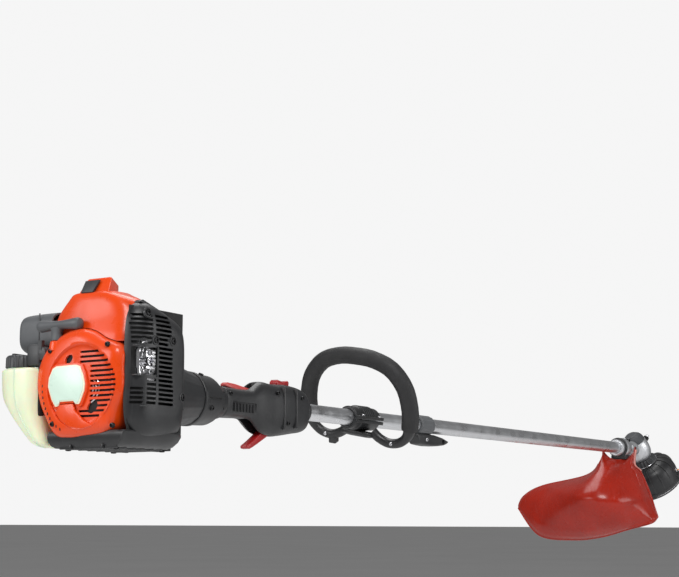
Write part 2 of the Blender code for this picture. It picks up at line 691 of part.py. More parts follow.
def rear_handle():
    bore = tool(rod("tube_bore", TUBE_RADIUS + GAP, (0.24, 0, 0), (0.48, 0, 0), 32))
    pocket = tool(box("trigger_pocket", (0.3060, -0.0075, -0.0600), (0.3780, 0.0075, -0.0126)))
    slot = tool(box("lockout_pocket", (0.2640, -0.0052, 0.0127), (0.3360, 0.0052, 0.0500)))
    well = tool(box("switch_pocket", (0.3800, -0.0072, 0.0190), (0.4160, 0.0072, 0.0600)))
    sides = (("left", GAP / 2, 0.06), ("right", -0.06, -GAP / 2))
    channel = tool(pipe("cable_channel", cable_route(), 0.0026, 1))
    pins = (
        ("trigger_pin", 0.0016, 0.0072, TRIGGER_PIN),
        ("lockout_pin", 0.0011, 0.0049, LOCKOUT_PIN),
        ("switch_pin", 0.0011, 0.0069, SWITCH_PIN),
    )
    for side, low, high in sides:
        half = handle_body(f"rear_handle_{side}")
        keep(half, tool(box(f"{side}_side", (0.2, low, -0.1), (0.5, high, 0.1))))
        cut(half, bore, pocket, slot, well, channel)
        for name, radius, reach, place in pins if side == "left" else ():
            peg = tool(rod(name, radius, (0, -reach, 0), (0, 0.0110, 0), 12))
            peg.location = place
            join(half, peg)
        finish(half, BLACK, 0.55)
    finish(pipe("throttle_cable", cable_route()[:-2], 0.0012, 0), BLACK, 0.5)


def handle_controls():
    across = ((1, 0, 0), (0, 0, 1))
    outline = [(0.0050, 0.0062), (0.0075, -0.0030), (0.0040, -0.0140), (-0.0100, -0.0205)]
    outline += [(-0.0300, -0.0300), (-0.0440, -0.0350), (-0.0490, -0.0310)]
    outline += [(-0.0300, -0.0200), (-0.0120, -0.0090), (-0.0060, 0.0040)]
    trigger = plate("throttle_trigger", outline, 0.0120, TRIGGER_PIN, *across)
    eye = tool(rod("trigger_eye", 0.0021, (0, -0.01, 0), (0, 0.01, 0), 16))
    eye.location = TRIGGER_PIN
    finish(cut(trigger, eye), TRIGGER_RED, 0.35)
    outline = [(0.0055, -0.0025), (0.0060, 0.0030), (0.0010, 0.0048), (-0.0380, 0.0090)]
    outline += [(-0.0560, 0.0098), (-0.0600, 0.0080), (-0.0600, 0.0052), (-0.0100, -0.0010)]
    outline += [(-0.0030, -0.0030)]
    lockout = plate("throttle_lockout", outline, 0.0092, LOCKOUT_PIN, *across)
    eye = tool(rod("lockout_eye", 0.0015, (0, -0.01, 0), (0, 0.01, 0), 12))
    eye.location = LOCKOUT_PIN
    finish(cut(lockout, eye), LOCKOUT_PINK, 0.35)
    outline = [(-0.0150, 0.0085), (-0.0110, 0.0115), (0.0, 0.0098), (0.0110, 0.0125)]
    outline += [(0.0150, 0.0100), (0.0140, 0.0040), (0.0030, -0.0030), (-0.0030, -0.0030)]
    outline += [(-0.0140, 0.0030)]
    switch = plate("stop_switch", outline, 0.0130, SWITCH_PIN, *across)
    eye = tool(rod("switch_eye", 0.0015, (0, -0.01, 0), (0, 0.01, 0), 12))
    eye.location = SWITCH_PIN
    finish(cut(switch, eye), TRIGGER_RED, 0.35)


# -------------------------------------------------------------------- loop handle


def loop_handle():
    """The front loop: a padded bow that curls in under the shaft at both ends."""
    right = [(-0.0220, -0.0182), (-0.0338, -0.0272), (-0.0492, -0.0324), (-0.0666, -0.0291)]
    right += [(-0.0800, -0.0168), (-0.0851, 0.0012), (-0.0856, 0.0277), (-0.0779, 0.0590)]
    right += [(-0.0574, 0.0845), (-0.0287, 0.0963)]
    bow = right + [(0.0, 0.0987)] + [(-y, z) for y, z in reversed(right)]
    path = smooth_path([(0.0, y, z) for y, z in bow], 2)
    tapers = []
    for point in path:
        share = min(1.0, max(0.0, (point.z + 0.028) / 0.040))
        tapers.append(0.52 + 0.48 * share)
    bar = pipe("loop_handle", path, 0.0128, 3, tapers)
    bar.rotation_euler = (HANDLE_ROLL, HANDLE_LEAN, 0)
    yoke = box("loop_yoke", (-0.0090, -0.0250, -0.0265), (0.0210, 0.0250, -0.0178))
    yoke.rotation_euler = (HANDLE_ROLL, 0, 0)
    join(bar, tool(yoke))
    for piece in (bar, yoke):
        piece.location = (HANDLE_X, 0, 0)
    finish(bar, BLACK, 0.6)


def handle_clamp():
    for name, sign in (("handle_clamp_upper", 1), ("handle_clamp_lower", -1)):
        inner = TUBE_RADIUS + GAP
        arc = [math.radians(angle) for angle in range(0, 181, 20)]
        outline = [(-0.0220, 0.0010), (-0.0220, 0.0055)]
        outline += [
            (-0.0170 * math.cos(angle), 0.0170 * math.sin(angle))
            for angle in arc
            if 0.30 < angle < math.pi - 0.30
        ]
        outline += [(0.0220, 0.0055), (0.0220, 0.0010)]
        outline += [
            (inner * math.cos(angle), max(0.0010, inner * math.sin(angle))) for angle in arc
        ]
        up = (0, -sign * math.sin(HANDLE_ROLL), sign * math.cos(HANDLE_ROLL))
        right = (0, math.cos(HANDLE_ROLL), math.sin(HANDLE_ROLL))
        origin = (HANDLE_X, 0, 0)
        half = plate(name, outline, 0.0700, origin, right, up)
        finish(half, BLACK, 0.5)


def hanger():
    collar = ring("hanger_clamp", 0.0158, TUBE_RADIUS + GAP, (0.7900, 0, 0), (0.8320, 0, 0))
    outline = [(-0.012, -0.0145), (0.046, -0.0145), (0.074, -0.0180), (0.098, -0.0235)]
    outline += [(0.080, -0.0300), (0.030, -0.0330), (-0.006, -0.0310)]
    fin = plate("hanger_fin", outline, 0.0200, (0.7950, 0, 0), (1, 0, 0), (0, 0, 1))
    finish(join(collar, tool(fin)), MID_GREY, 0.45)


# ----------------------------------------------------------- gearbox and its drive


def gearbox():
    sleeve = ring("gearbox_sleeve", 0.0172, TUBE_RADIUS + GAP, (1.6900, 0, 0), (1.7880, 0, 0))
    finish(sleeve, ALUMINIUM, 0.4, 0.9)
    shell = [(0.0, 0.0400), (0.0120, 0.0390), (0.0200, 0.0340), (0.0240, 0.0240)]
    shell += [(0.0268, 0.0100), (0.0262, -0.0080), (0.0240, -0.0150), (0.0215, -0.0190)]
    shell += [(0.0185, -0.0190), (0.0185, -0.0150), (0.0236, -0.0070), (0.0236, 0.0100)]
    shell += [(0.0200, 0.0200), (0.0140, 0.0245), (0.0140, 0.0345), (0.0, 0.0355)]
    body = turned("gearbox_housing", shell, steps=20)
    neck = tool(rod("gearbox_neck", 0.0118, (GEAR_X - 0.052, 0, 0), (GEAR_X - 0.022, 0, 0)))
    bore = tool(rod("gearbox_bore", 0.0092, (GEAR_X - 0.060, 0, 0), (GEAR_X - 0.012, 0, 0)))
    join(body, neck)
    cut(body, bore)
    finish(body, DARK_GREY, 0.6, parent=HEAD)
    outline = toothed_outline(0.0060, 0.0080, 12)
    pinion = plate("pinion_gear", outline, 0.0060, (GEAR_X - 0.0215, 0, 0), (0, 1, 0), (0, 0, 1))
    stub = rod("pinion_stub", 0.0044, (1.7754, 0, 0), (GEAR_X - 0.0220, 0, 0), 16)
    finish(join(pinion, tool(stub)), STEEL, 0.3, 1.0)
    upright = ((1, 0, 0), (0, 1, 0))
    outline = toothed_outline(0.0180, 0.0205, 17)
    gear = plate("output_wheel", outline, 0.0050, (0, 0, 0.0005), *upright)
    spindle = rod("output_gear", 0.0056, (0, 0, 0.0335), (0, 0, -0.0460), 20)
    finish(join(spindle, tool(gear, HEAD)), STEEL, 0.3, 1.0, HEAD)


# ------------------------------------------------------------ cutting head, guard


def cutting_head():
    flange = [(0.0190, -0.0195), (0.0275, -0.0310), (0.0275, -0.0330), (0.0060, -0.0330)]
    flange += [(0.0060, -0.0215), (0.0180, -0.0215)]
    shape = turned("drive_flange", flange)
    finish(shape, DARK_GREY, 0.55, parent=HEAD)
    dome = [(0.0062, -0.0335), (0.0300, -0.0335), (0.0480, -0.0420), (0.0550, -0.0540)]
    dome += [(HEAD_RADIUS, -0.0660), (HEAD_RADIUS, -0.0940), (0.0545, -0.0940)]
    dome += [(0.0545, -0.0660), (0.0525, -0.0550), (0.0465, -0.0440), (0.0290, -0.0362)]
    dome += [(0.0062, -0.0362)]
    housing = turned("head_housing", dome, steps=24)
    eyes = box("eyelet_slots", (-0.0034, -0.0700, -0.0805), (0.0034, 0.0700, -0.0660))
    cut(housing, tool(eyes, HEAD))
    finish(housing, BLACK, 0.35, parent=HEAD)
    lid = [(HEAD_RADIUS, -0.0944), (0.0565, -0.0985), (0.0215, -0.0985), (0.0215, -0.0960)]
    lid += [(0.0500, -0.0960), (0.0500, -0.0944)]
    finish(turned("head_cover", lid, steps=24), BLACK, 0.4, parent=HEAD)
    core = [(0.0475, -0.0550), (0.0475, -0.0570), (0.0180, -0.0570), (0.0180, -0.0850)]
    core += [(0.0475, -0.0850), (0.0475, -0.0870), (0.0080, -0.0870), (0.0080, -0.0550)]
    finish(turned("line_spool", core), NYLON, 0.45, parent=HEAD)
    wound = [(0.0440, -0.0575), (0.0440, -0.0845), (0.0184, -0.0845), (0.0184, -0.0575)]
    line = turned("cutting_line", wound)
    for side, sign in (("left", 1), ("right", -1)):
        start = (0, sign * 0.0400, -0.0760)
        stub = rod(f"line_end_{side}", 0.0012, start, (0, sign * 0.0700, -0.0760), 8)
        join(line, tool(stub, HEAD))
    finish(line, (0.85, 0.30, 0.05), 0.4, parent=HEAD)
    button = [(0.0, -0.0874), (0.0205, -0.0874), (0.0205, -0.1040), (0.0150, -0.1100)]
    button += [(0.0, -0.1110)]
    finish(turned("tap_button", button, steps=24), DARK_GREY, 0.5, parent=HEAD)
    coil = []
    for step in range(33):
        angle = 2 * math.pi * 2 * step / 32
        height = -0.0463 - 0.0032 * step / 32
        coil.append((0.0105 * math.cos(angle), 0.0105 * math.sin(angle), height))
    finish(pipe("tap_spring", coil, 0.0005, 0), STEEL, 0.3, 1.0, HEAD)


def guard():
    """The guard's skirt: rows from its neck round the gearbox sleeve down to its hem."""
    rows = [
        [
            (1.742, -0.0245, 0.002),
            (1.735, -0.0235, -0.010),
            (1.720, -0.0130, -0.0225),
            (1.700, 0.0000, -0.0260),
            (1.690, 0.0130, -0.0225),
            (1.684, 0.0235, -0.010),
            (1.682, 0.0245, 0.002),
        ],
        [
            (1.728, -0.0245, -0.034),
            (1.705, -0.0240, -0.037),
            (1.682, -0.0140, -0.042),
            (1.662, 0.0020, -0.044),
            (1.655, 0.0150, -0.042),
            (1.660, 0.0230, -0.036),
            (1.668, 0.0270, -0.029),
        ],
        [
            (1.735, -0.038, -0.052),
            (1.700, -0.036, -0.062),
            (1.655, -0.022, -0.070),
            (1.625, 0.004, -0.072),
            (1.625, 0.030, -0.069),
            (1.645, 0.047, -0.064),
            (1.668, 0.058, -0.059),
        ],
        [
            (1.742, -0.054, -0.096),
            (1.685, -0.054, -0.106),
            (1.628, -0.032, -0.114),
            (1.600, 0.010, -0.116),
            (1.602, 0.062, -0.111),
            (1.638, 0.118, -0.099),
            (1.690, 0.170, -0.080),
        ],
        [
            (1.732, -0.067, -0.128),
            (1.690, -0.066, -0.142),
            (1.650, -0.028, -0.153),
            (1.628, 0.022, -0.162),
            (1.625, 0.080, -0.162),
            (1.645, 0.150, -0.150),
            (1.690, 0.215, -0.102),
        ],
        [
            (1.716, -0.078, -0.145),
            (1.700, -0.070, -0.160),
            (1.682, -0.022, -0.175),
            (1.670, 0.030, -0.190),
            (1.662, 0.092, -0.196),
            (1.666, 0.172, -0.186),
            (1.690, 0.230, -0.128),
        ],
    ]
    bm = bmesh.new()
    grid = [[bm.verts.new(point) for point in row] for row in rows]
    for row, following in zip(grid, grid[1:]):
        for index in range(len(row) - 1):
            bm.faces.new((row[index], following[index], following[index + 1], row[index + 1]))
    skirt = mesh_object("guard", bm)
    soft = skirt.modifiers.new("form", "SUBSURF")
    soft.levels = 1
    soft.render_levels = 1
    hollow(skirt, 0.0026)
    finish(skirt, GUARD_RED, 0.3)
    blade = [(-0.016, -0.009), (0.016, -0.009), (0.020, 0.009), (-0.016, 0.009)]
    place = (1.7140, -0.0480, -0.1500)
    knife = plate("line_cutter", blade, 0.0016, place, (0.62, 0.78, 0), (0.3, -0.25, 0.92))
    finish(knife, STEEL, 0.25, 1.0)


def build():
    clear_scene()
    make_frame()
    starter_housing()
    starter_spool()
    starter_pull()
    crankshaft()
    piston_group()
    crankcase()
    cylinder()
    ignition()
    exhaust()
    top_cover()
    intake()
    fuel_tank()
    engine_base()
    clutch()
    shaft()
    rear_handle()
    handle_controls()
    loop_handle()
    handle_clamp()
    hanger()
    gearbox()
    cutting_head()
    guard()


build()
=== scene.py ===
"""Looks of the petrol string trimmer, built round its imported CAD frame.

Sizes are in metres. The design frame has +X along the shaft from the engine to the head, +Y to
the left and +Z up, with its origin where the shaft axis meets the rear of the recoil starter.
Pieces are built in that frame, and place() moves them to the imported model's own.
"""

import math

import bmesh
import bpy
import json
from mathutils import Matrix, Vector


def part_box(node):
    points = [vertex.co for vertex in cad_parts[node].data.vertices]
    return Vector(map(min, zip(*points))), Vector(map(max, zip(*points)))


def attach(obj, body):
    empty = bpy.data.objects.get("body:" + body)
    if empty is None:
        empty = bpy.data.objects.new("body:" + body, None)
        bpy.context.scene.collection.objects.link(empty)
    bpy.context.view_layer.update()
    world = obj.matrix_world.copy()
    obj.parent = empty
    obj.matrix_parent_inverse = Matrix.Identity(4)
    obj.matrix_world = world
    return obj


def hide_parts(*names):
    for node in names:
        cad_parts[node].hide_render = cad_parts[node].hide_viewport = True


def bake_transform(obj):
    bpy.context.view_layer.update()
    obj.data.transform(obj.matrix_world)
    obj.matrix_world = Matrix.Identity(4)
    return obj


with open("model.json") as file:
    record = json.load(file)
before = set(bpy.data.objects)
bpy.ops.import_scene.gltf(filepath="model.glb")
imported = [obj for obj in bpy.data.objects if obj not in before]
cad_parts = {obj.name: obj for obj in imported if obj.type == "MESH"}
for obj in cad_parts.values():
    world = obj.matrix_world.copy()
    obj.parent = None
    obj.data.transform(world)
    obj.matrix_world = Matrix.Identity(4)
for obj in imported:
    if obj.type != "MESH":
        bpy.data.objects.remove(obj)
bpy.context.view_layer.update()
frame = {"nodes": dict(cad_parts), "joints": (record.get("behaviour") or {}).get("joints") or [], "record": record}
ORIGIN = Vector((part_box("starter_housing")[0].x, 0.0, 0.0))
TUBE_RADIUS = (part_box("shaft_tube")[1].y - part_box("shaft_tube")[0].y) / 2
TUBE_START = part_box("shaft_tube")[0].x - ORIGIN.x
TUBE_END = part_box("shaft_tube")[1].x - ORIGIN.x
COVER_WALL = 0.0020
JOINTS = {joint["name"]: joint for joint in frame["joints"]}

# The head's axis leans back and to the left: local +Z points up it, to the gearbox cap.
HEAD_CENTRE = Vector(JOINTS["head_spin"]["pos_m"]) - ORIGIN
HEAD_LEAN = math.radians(35.0)
HEAD_ROLL = math.radians(15.0)
HEAD_TURN = (
    Matrix.Translation(HEAD_CENTRE)
    @ Matrix.Rotation(-HEAD_ROLL, 4, "X")
    @ Matrix.Rotation(-HEAD_LEAN, 4, "Y")
)

# The loop handle's own frame, rolled about the shaft and leant towards the engine.
LOOP_X = 0.6150
LOOP_ROLL = math.radians(10.5)
LOOP_LEAN = math.radians(-22.7)
CLAMP_TURN = Matrix.Translation((LOOP_X, 0, 0)) @ Matrix.Rotation(LOOP_ROLL, 4, "X")
LOOP_TURN = (
    Matrix.Translation((LOOP_X, 0, 0))
    @ Matrix.Rotation(LOOP_LEAN, 4, "Y")
    @ Matrix.Rotation(LOOP_ROLL, 4, "X")
)

# ------------------------------------------------------------------ materials

FINISHES = {}


def node(tree, kind, **values):
    """Adds a shader node: a value goes to the setting of that name, or else to the socket."""
    made = tree.nodes.new(f"ShaderNode{kind}")
    for name, value in values.items():
        if hasattr(made, name):
            setattr(made, name, value)
        else:
            made.inputs[name.replace("_", " ")].default_value = value
    return made


def noise(tree, scale, detail=4.0, stretch=(1, 1, 1)):
    """Noise in the object's own metres, stretched where it is a drawn or brushed grain."""
    coordinates = node(tree, "TexCoord")
    mapping = node(tree, "Mapping", Scale=stretch)
    made = node(tree, "TexNoise", Scale=scale, Detail=detail)
    tree.links.new(coordinates.outputs["Object"], mapping.inputs["Vector"])
    tree.links.new(mapping.outputs["Vector"], made.inputs["Vector"])
    return made.outputs["Fac"]


def spread(tree, source, low, high, start=0.3, end=0.7):
    """Maps a value between start and end onto low to high."""
    made = node(tree, "MapRange")
    for name, value in (("From Min", start), ("From Max", end), ("To Min", low), ("To Max", high)):
        made.inputs[name].default_value = value
    tree.links.new(source, made.inputs["Value"])
    return made.outputs["Result"]


def mixed(tree, factor, first, second):
    """Mixes two colours, either of which may be a socket or three numbers."""
    made = node(tree, "Mix", data_type="RGBA")
    tree.links.new(factor, made.inputs["Factor"])
    for name, value in (("A", first), ("B", second)):
        socket = [s for s in made.inputs if s.name == name and s.type == "RGBA"][0]
        if isinstance(value, bpy.types.NodeSocket):
            tree.links.new(value, socket)
        else:
            socket.default_value = (*value, 1.0)
    return [s for s in made.outputs if s.type == "RGBA"][0]


def shaded(colour, share):
    return tuple(min(1.0, max(0.0, channel * share)) for channel in colour)


def finish(name, colour, rough, metallic=0.0, slot=None, **look):
    """A procedural finish: mottled colour, uneven gloss, moulded or drawn grain, scuffs, dust.

    look may give mottle, grain, bump, stretch, scuff, dust, worn and the shader's own sockets.
    """
    made = bpy.data.materials.new(name)
    made.use_nodes = True
    tree = made.node_tree
    shader = tree.nodes["Principled BSDF"]
    mottle = look.get("mottle", 0.12)
    broad = noise(tree, 22.0, 6.0)
    tone = mixed(
        tree, spread(tree, broad, 0, 1), shaded(colour, 1 - mottle), shaded(colour, 1 + mottle)
    )
    scuff = noise(tree, 9.0, 3.0, look.get("scuff_stretch", (6, 60, 6)))
    scuffed = spread(tree, scuff, 0, look.get("scuff", 0.12), 0.60, 0.72)
    pale = tuple(0.5 * channel + 0.5 * look.get("pale", 0.55) for channel in colour)
    tone = mixed(tree, scuffed, tone, pale)
    if look.get("worn", 0.0):
        shape = node(tree, "NewGeometry")
        edge = spread(tree, shape.outputs["Pointiness"], 0, look["worn"], 0.53, 0.60)
        tone = mixed(tree, edge, tone, pale)
    if look.get("dust", 0.0):
        shape = node(tree, "NewGeometry")
        split = node(tree, "SeparateXYZ")
        tree.links.new(shape.outputs["Normal"], split.inputs["Vector"])
        product = node(tree, "Math", operation="MULTIPLY")
        tree.links.new(spread(tree, split.outputs["Z"], 0, look["dust"], 0.2, 1.0), product.inputs[0])
        tree.links.new(spread(tree, noise(tree, 60.0, 8.0), 0.2, 1), product.inputs[1])
        tone = mixed(tree, product.outputs["Value"], tone, (0.45, 0.43, 0.40))
    tree.links.new(tone, shader.inputs["Base Color"])
    gloss = spread(tree, noise(tree, 45.0, 5.0), max(0.04, rough - 0.07), min(1.0, rough + 0.09))
    tree.links.new(gloss, shader.inputs["Roughness"])
    shader.inputs["Metallic"].default_value = metallic
    grain = noise(tree, look.get("grain", 1400.0), 2.0, look.get("stretch", (1, 1, 1)))
    relief = node(tree, "Bump", Strength=look.get("bump", 0.12), Distance=0.0004)
    tree.links.new(grain, relief.inputs["Height"])
    tree.links.new(relief.outputs["Normal"], shader.inputs["Normal"])
    for socket, value in look.get("sockets", {}).items():
        shader.inputs[socket].default_value = value
    FINISHES[name] = (made, slot or name)
    return made


def make_finishes():
    gloss = {"Coat Weight": 0.16, "Coat Roughness": 0.12, "Specular IOR Level": 0.35}
    finish("orange_plastic", (0.80, 0.062, 0.002), 0.30, sockets=gloss, mottle=0.05,
           scuff=0.05, worn=0.15, dust=0.04, grain=2200.0, bump=0.03)
    finish("guard_plastic", (0.34, 0.012, 0.002), 0.27, sockets=gloss, mottle=0.10,
           scuff=0.07, worn=0.20, dust=0.03, grain=1800.0, bump=0.03)
    # Painted highlight: a pale pink, lit copy of guard_plastic for the bright strip along the guard's front
    # flange.
    finish("guard_painted_highlight", (0.72, 0.30, 0.26), 0.35, slot="guard_plastic", mottle=0.08)
    finish("black_plastic", (0.014, 0.0145, 0.016), 0.40, worn=0.25, dust=0.03, bump=0.18,
           pale=0.14, scuff=0.14)
    finish("dark_plastic", (0.032, 0.034, 0.037), 0.45, worn=0.25, dust=0.03, bump=0.20, pale=0.2)
    finish("grey_plastic", (0.085, 0.090, 0.096), 0.48, worn=0.2, dust=0.04, bump=0.22, pale=0.25)
    finish("red_plastic", (0.36, 0.012, 0.014), 0.32, sockets=gloss, worn=0.3, bump=0.06)
    finish("pink_plastic", (0.62, 0.075, 0.070), 0.32, sockets=gloss, worn=0.3, bump=0.06)
    tank = {"Subsurface Weight": 0.45, "Subsurface Scale": 0.012, "Coat Weight": 0.2}
    finish("tank_plastic", (0.80, 0.86, 0.62), 0.34, sockets=tank, mottle=0.06, scuff=0.08,
           pale=0.9, bump=0.06)
    finish("nylon", (0.80, 0.78, 0.70), 0.45, mottle=0.06, bump=0.10)
    finish("rubber", (0.013, 0.013, 0.014), 0.60, bump=0.40, grain=2600.0, pale=0.08, dust=0.02)
    finish("foam", (0.75, 0.72, 0.62), 0.95, bump=0.9, grain=900.0)
    finish("line", (0.85, 0.30, 0.05), 0.35, mottle=0.05)
    finish("rope", (0.30, 0.30, 0.30), 0.85, bump=0.9, grain=1500.0, stretch=(1, 1, 3))
    finish("steel", (0.58, 0.58, 0.60), 0.30, 1.0, bump=0.12, mottle=0.10, scuff=0.3)
    finish("chrome_steel", (0.74, 0.74, 0.76), 0.13, 1.0, bump=0.03, mottle=0.16, scuff=0.2)
    finish("cast_aluminium", (0.62, 0.63, 0.65), 0.42, 0.95, bump=0.40, grain=1100.0, mottle=0.12)
    finish("tube_aluminium", (0.70, 0.71, 0.73), 0.30, 1.0, bump=0.02, grain=40.0,
           stretch=(1, 60, 60), scuff=0.08, scuff_stretch=(2, 120, 120), mottle=0.04)
    finish("cast_grey", (0.058, 0.061, 0.066), 0.62, 0.2, bump=0.95, grain=700.0, worn=0.5,
           pale=0.35, mottle=0.2)
    finish("screw_black", (0.015, 0.015, 0.016), 0.35, 0.6, slot="steel", bump=0.1)
    finish("badge_face", (0.68, 0.86, 0.74), 0.30, slot="nylon", mottle=0.04, bump=0.04)
    finish("badge_rim", (0.90, 0.86, 0.66), 0.35, slot="nylon", mottle=0.05, bump=0.04)
    # Painted shade: a near-black, darker copy of dark_plastic for the dark sheets and marks where shade falls
    # behind the grille, slots, vents, tank and seam.
    finish("painted_shade_black", (0.012, 0.012, 0.012), 0.8, slot="dark_plastic", bump=0.3)


# --------------------------------------------------------------- mesh helpers


def shape(name, bm, sharp=35.0):
    """Makes a smooth-shaded object of a bmesh, with its faces pointing out."""
    bmesh.ops.recalc_face_normals(bm, faces=bm.faces)
    mesh = bpy.data.meshes.new(name)
    bm.to_mesh(mesh)
    bm.free()
    smooth(mesh, sharp)
    obj = bpy.data.objects.new(name, mesh)
    bpy.context.scene.collection.objects.link(obj)
    return obj


def smooth(mesh, sharp=35.0):
    mesh.shade_smooth()
    mesh.set_sharp_from_angle(angle=math.radians(sharp))


def bake(obj, sharp=35.0):
    """Applies every modifier."""
    bpy.context.view_layer.update()
    graph = bpy.context.evaluated_depsgraph_get()
    mesh = bpy.data.meshes.new_from_object(obj.evaluated_get(graph))
    obj.modifiers.clear()
    obj.data = mesh
    smooth(mesh, sharp)
    return obj


def rounded(obj, width, segments=3, sharp=30.0):
    """Rounds the edges that are sharper than the angle."""
    step = obj.modifiers.new("rounding", "BEVEL")
    step.width = width
    step.segments = segments
    step.limit_method = "ANGLE"
    step.angle_limit = math.radians(sharp)
    return bake(obj)


def walled(obj, thickness):
    step = obj.modifiers.new("wall", "SOLIDIFY")
    step.thickness = thickness
    step.offset = -1.0
    step.use_even_offset = True
    return bake(obj)


def carved(obj, *cutters, solver="EXACT"):
    """Cuts the cutters out of obj, and removes them."""
    for cutter in cutters:
        step = obj.modifiers.new("cut", "BOOLEAN")
        step.operation = "DIFFERENCE"
        step.solver = solver
        step.object = cutter
    bake(obj)
    for cutter in cutters:
        bpy.data.objects.remove(cutter, do_unlink=True)
    return obj


def place(obj, look, body="frame", replaced=(), turn=None):
    """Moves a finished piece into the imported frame, gives it its finish and lets it ride."""
    whole = Matrix.Translation(ORIGIN) @ (turn or Matrix.Identity(4)) @ obj.matrix_world
    obj.data.transform(whole)
    obj.matrix_world = Matrix.Identity(4)
    made, slot = FINISHES[look]
    obj.data.materials.clear()
    obj.data.materials.append(made)
    if body:
        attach(obj, body)
    if replaced:
        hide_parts(*replaced)
    return obj


def skin(bm, rings, closed=True, caps=(True, True)):
    """Joins rows of points with faces."""
    rows = [[bm.verts.new(point) for point in ring] for ring in rings]
    count = len(rows[0])
    for row, following in zip(rows, rows[1:]):
        for index in range(count if closed else count - 1):
            after = (index + 1) % count
            bm.faces.new((row[index], row[after], following[after], following[index]))
    if closed and caps[0]:
        bm.faces.new(list(reversed(rows[0])))
    if closed and caps[1]:
        bm.faces.new(rows[-1])


def loft(name, rings, closed=True, caps=(True, True)):
    bm = bmesh.new()
    skin(bm, rings, closed, caps)
    return shape(name, bm)


def add_box(bm, low, high, turn=None):
    low = Vector(low)
    high = Vector(high)
    size = Matrix.Diagonal((*(high - low), 1.0))
    whole = (turn or Matrix.Identity(4)) @ Matrix.Translation((low + high) / 2) @ size
    bmesh.ops.create_cube(bm, size=1.0, matrix=whole)


def box(name, low, high, bevel=0.0, turn=None):
    bm = bmesh.new()
    add_box(bm, low, high, turn)
    obj = shape(name, bm)
    return rounded(obj, bevel) if bevel else obj


def boxes(name, pairs, bevel=0.0):
    bm = bmesh.new()
    for low, high in pairs:
        add_box(bm, low, high)
    obj = shape(name, bm)
    return rounded(obj, bevel, 2) if bevel else obj


def aim(origin, axis):
    return Matrix.Translation(origin) @ Vector(axis).to_track_quat("Z", "Y").to_matrix().to_4x4()


def lobed(depth, count, power, above=-1.0):
    """A wave for turned(): count raised or sunk lobes, only where the radius is over above."""

    def wave(angle, radius, height):
        if radius <= above:
            return radius
        return radius * (1 + depth * max(0.0, math.cos(count * angle)) ** power)

    return wave


def fluted(depth, count, above, below=1.0):
    """A wave for turned(): count even flutes, only where the radius is between the two."""

    def wave(angle, radius, height):
        if not above < radius < below:
            return radius
        return radius * (1 + depth * math.cos(count * angle))

    return wave


def six_sided(angle, radius, height):
    """A wave for turned() that makes a hexagon, with the radius at its corners."""
    return radius * math.cos(math.pi / 6) / math.cos((angle % (math.pi / 3)) - math.pi / 6)


def turned(name, profile, origin=(0, 0, 0), axis=(0, 0, 1), steps=64, bevel=0.0, wave=None):
    """Turns (radius, height) pairs. A profile that leaves the axis is closed as a ring.

    wave(angle, radius, height) may give each point of the surface another radius.
    """
    bm = bmesh.new()
    rows = []
    for radius, height in profile:
        if radius == 0.0:
            rows.append([bm.verts.new((0, 0, height))])
            continue
        row = []
        for step in range(steps):
            angle = 2 * math.pi * step / steps
            reach = wave(angle, radius, height) if wave else radius
            row.append(bm.verts.new((reach * math.cos(angle), reach * math.sin(angle), height)))
        rows.append(row)
    pairs = list(zip(rows, rows[1:]))
    if profile[0][0] > 0.0 and profile[-1][0] > 0.0:
        pairs.append((rows[-1], rows[0]))
    for row, following in pairs:
        for step in range(steps):
            after = (step + 1) % steps
            if len(row) == 1:
                bm.faces.new((row[0], following[after], following[step]))
            elif len(following) == 1:
                bm.faces.new((row[step], row[after], following[0]))
            else:
                bm.faces.new((row[step], row[after], following[after], following[step]))
    obj = shape(name, bm)
    obj.matrix_world = aim(origin, axis)
    return rounded(obj, bevel) if bevel else obj


def curve_through(points, per_span=8, closed=False):
    """Points along a Catmull-Rom curve through tuples of any length."""
    points = [tuple(point) for point in points]
    count = len(points)
    spans = count if closed else count - 1
    path = []
    for index in range(spans):
        around = []
        for offset in (-1, 0, 1, 2):
            at = index + offset
            around.append(points[at % count] if closed else points[max(0, min(count - 1, at))])
        for step in range(per_span):
            t = step / per_span
            weights = (
                -0.5 * t + t**2 - 0.5 * t**3,
                1 - 2.5 * t**2 + 1.5 * t**3,
                0.5 * t + 2 * t**2 - 1.5 * t**3,
                -0.5 * t**2 + 0.5 * t**3,
            )
            path.append(
                tuple(sum(w * p[k] for w, p in zip(weights, around)) for k in range(len(points[0])))
            )
    if not closed:
        path.append(points[-1])
    return path


def pipe(name, points, radius, tapers=None, sides=8, closed=False):
    """A round bar along points, whose thickness follows the tapers."""
    data = bpy.data.curves.new(name, "CURVE")
    data.dimensions = "3D"
    data.bevel_depth = radius
    data.bevel_resolution = sides
    data.use_fill_caps = True
    spline = data.splines.new("POLY")
    spline.points.add(len(points) - 1)
    spline.use_cyclic_u = closed
    for index, point in enumerate(points):
        spline.points[index].co = (*point[:3], 1.0)
        spline.points[index].radius = tapers[index] if tapers else 1.0
    curve = bpy.data.objects.new(name, data)
    bpy.context.scene.collection.objects.link(curve)
    bpy.context.view_layer.update()
    graph = bpy.context.evaluated_depsgraph_get()
    mesh = bpy.data.meshes.new_from_object(curve.evaluated_get(graph))
    bpy.data.objects.remove(curve, do_unlink=True)
    bm = bmesh.new()
    bm.from_mesh(mesh)
    bmesh.ops.remove_doubles(bm, verts=bm.verts, dist=0.000001)
    return shape(name, bm)


def slab(name, outline, thickness, turn, bevel=0.0):
    """A flat outline in the turn's X and Y, with half its thickness on each side."""
    rings = [[(u, v, side * thickness / 2) for u, v in outline] for side in (-1, 1)]
    obj = loft(name, rings)
    obj.data.transform(turn)
    return rounded(obj, bevel) if bevel else obj


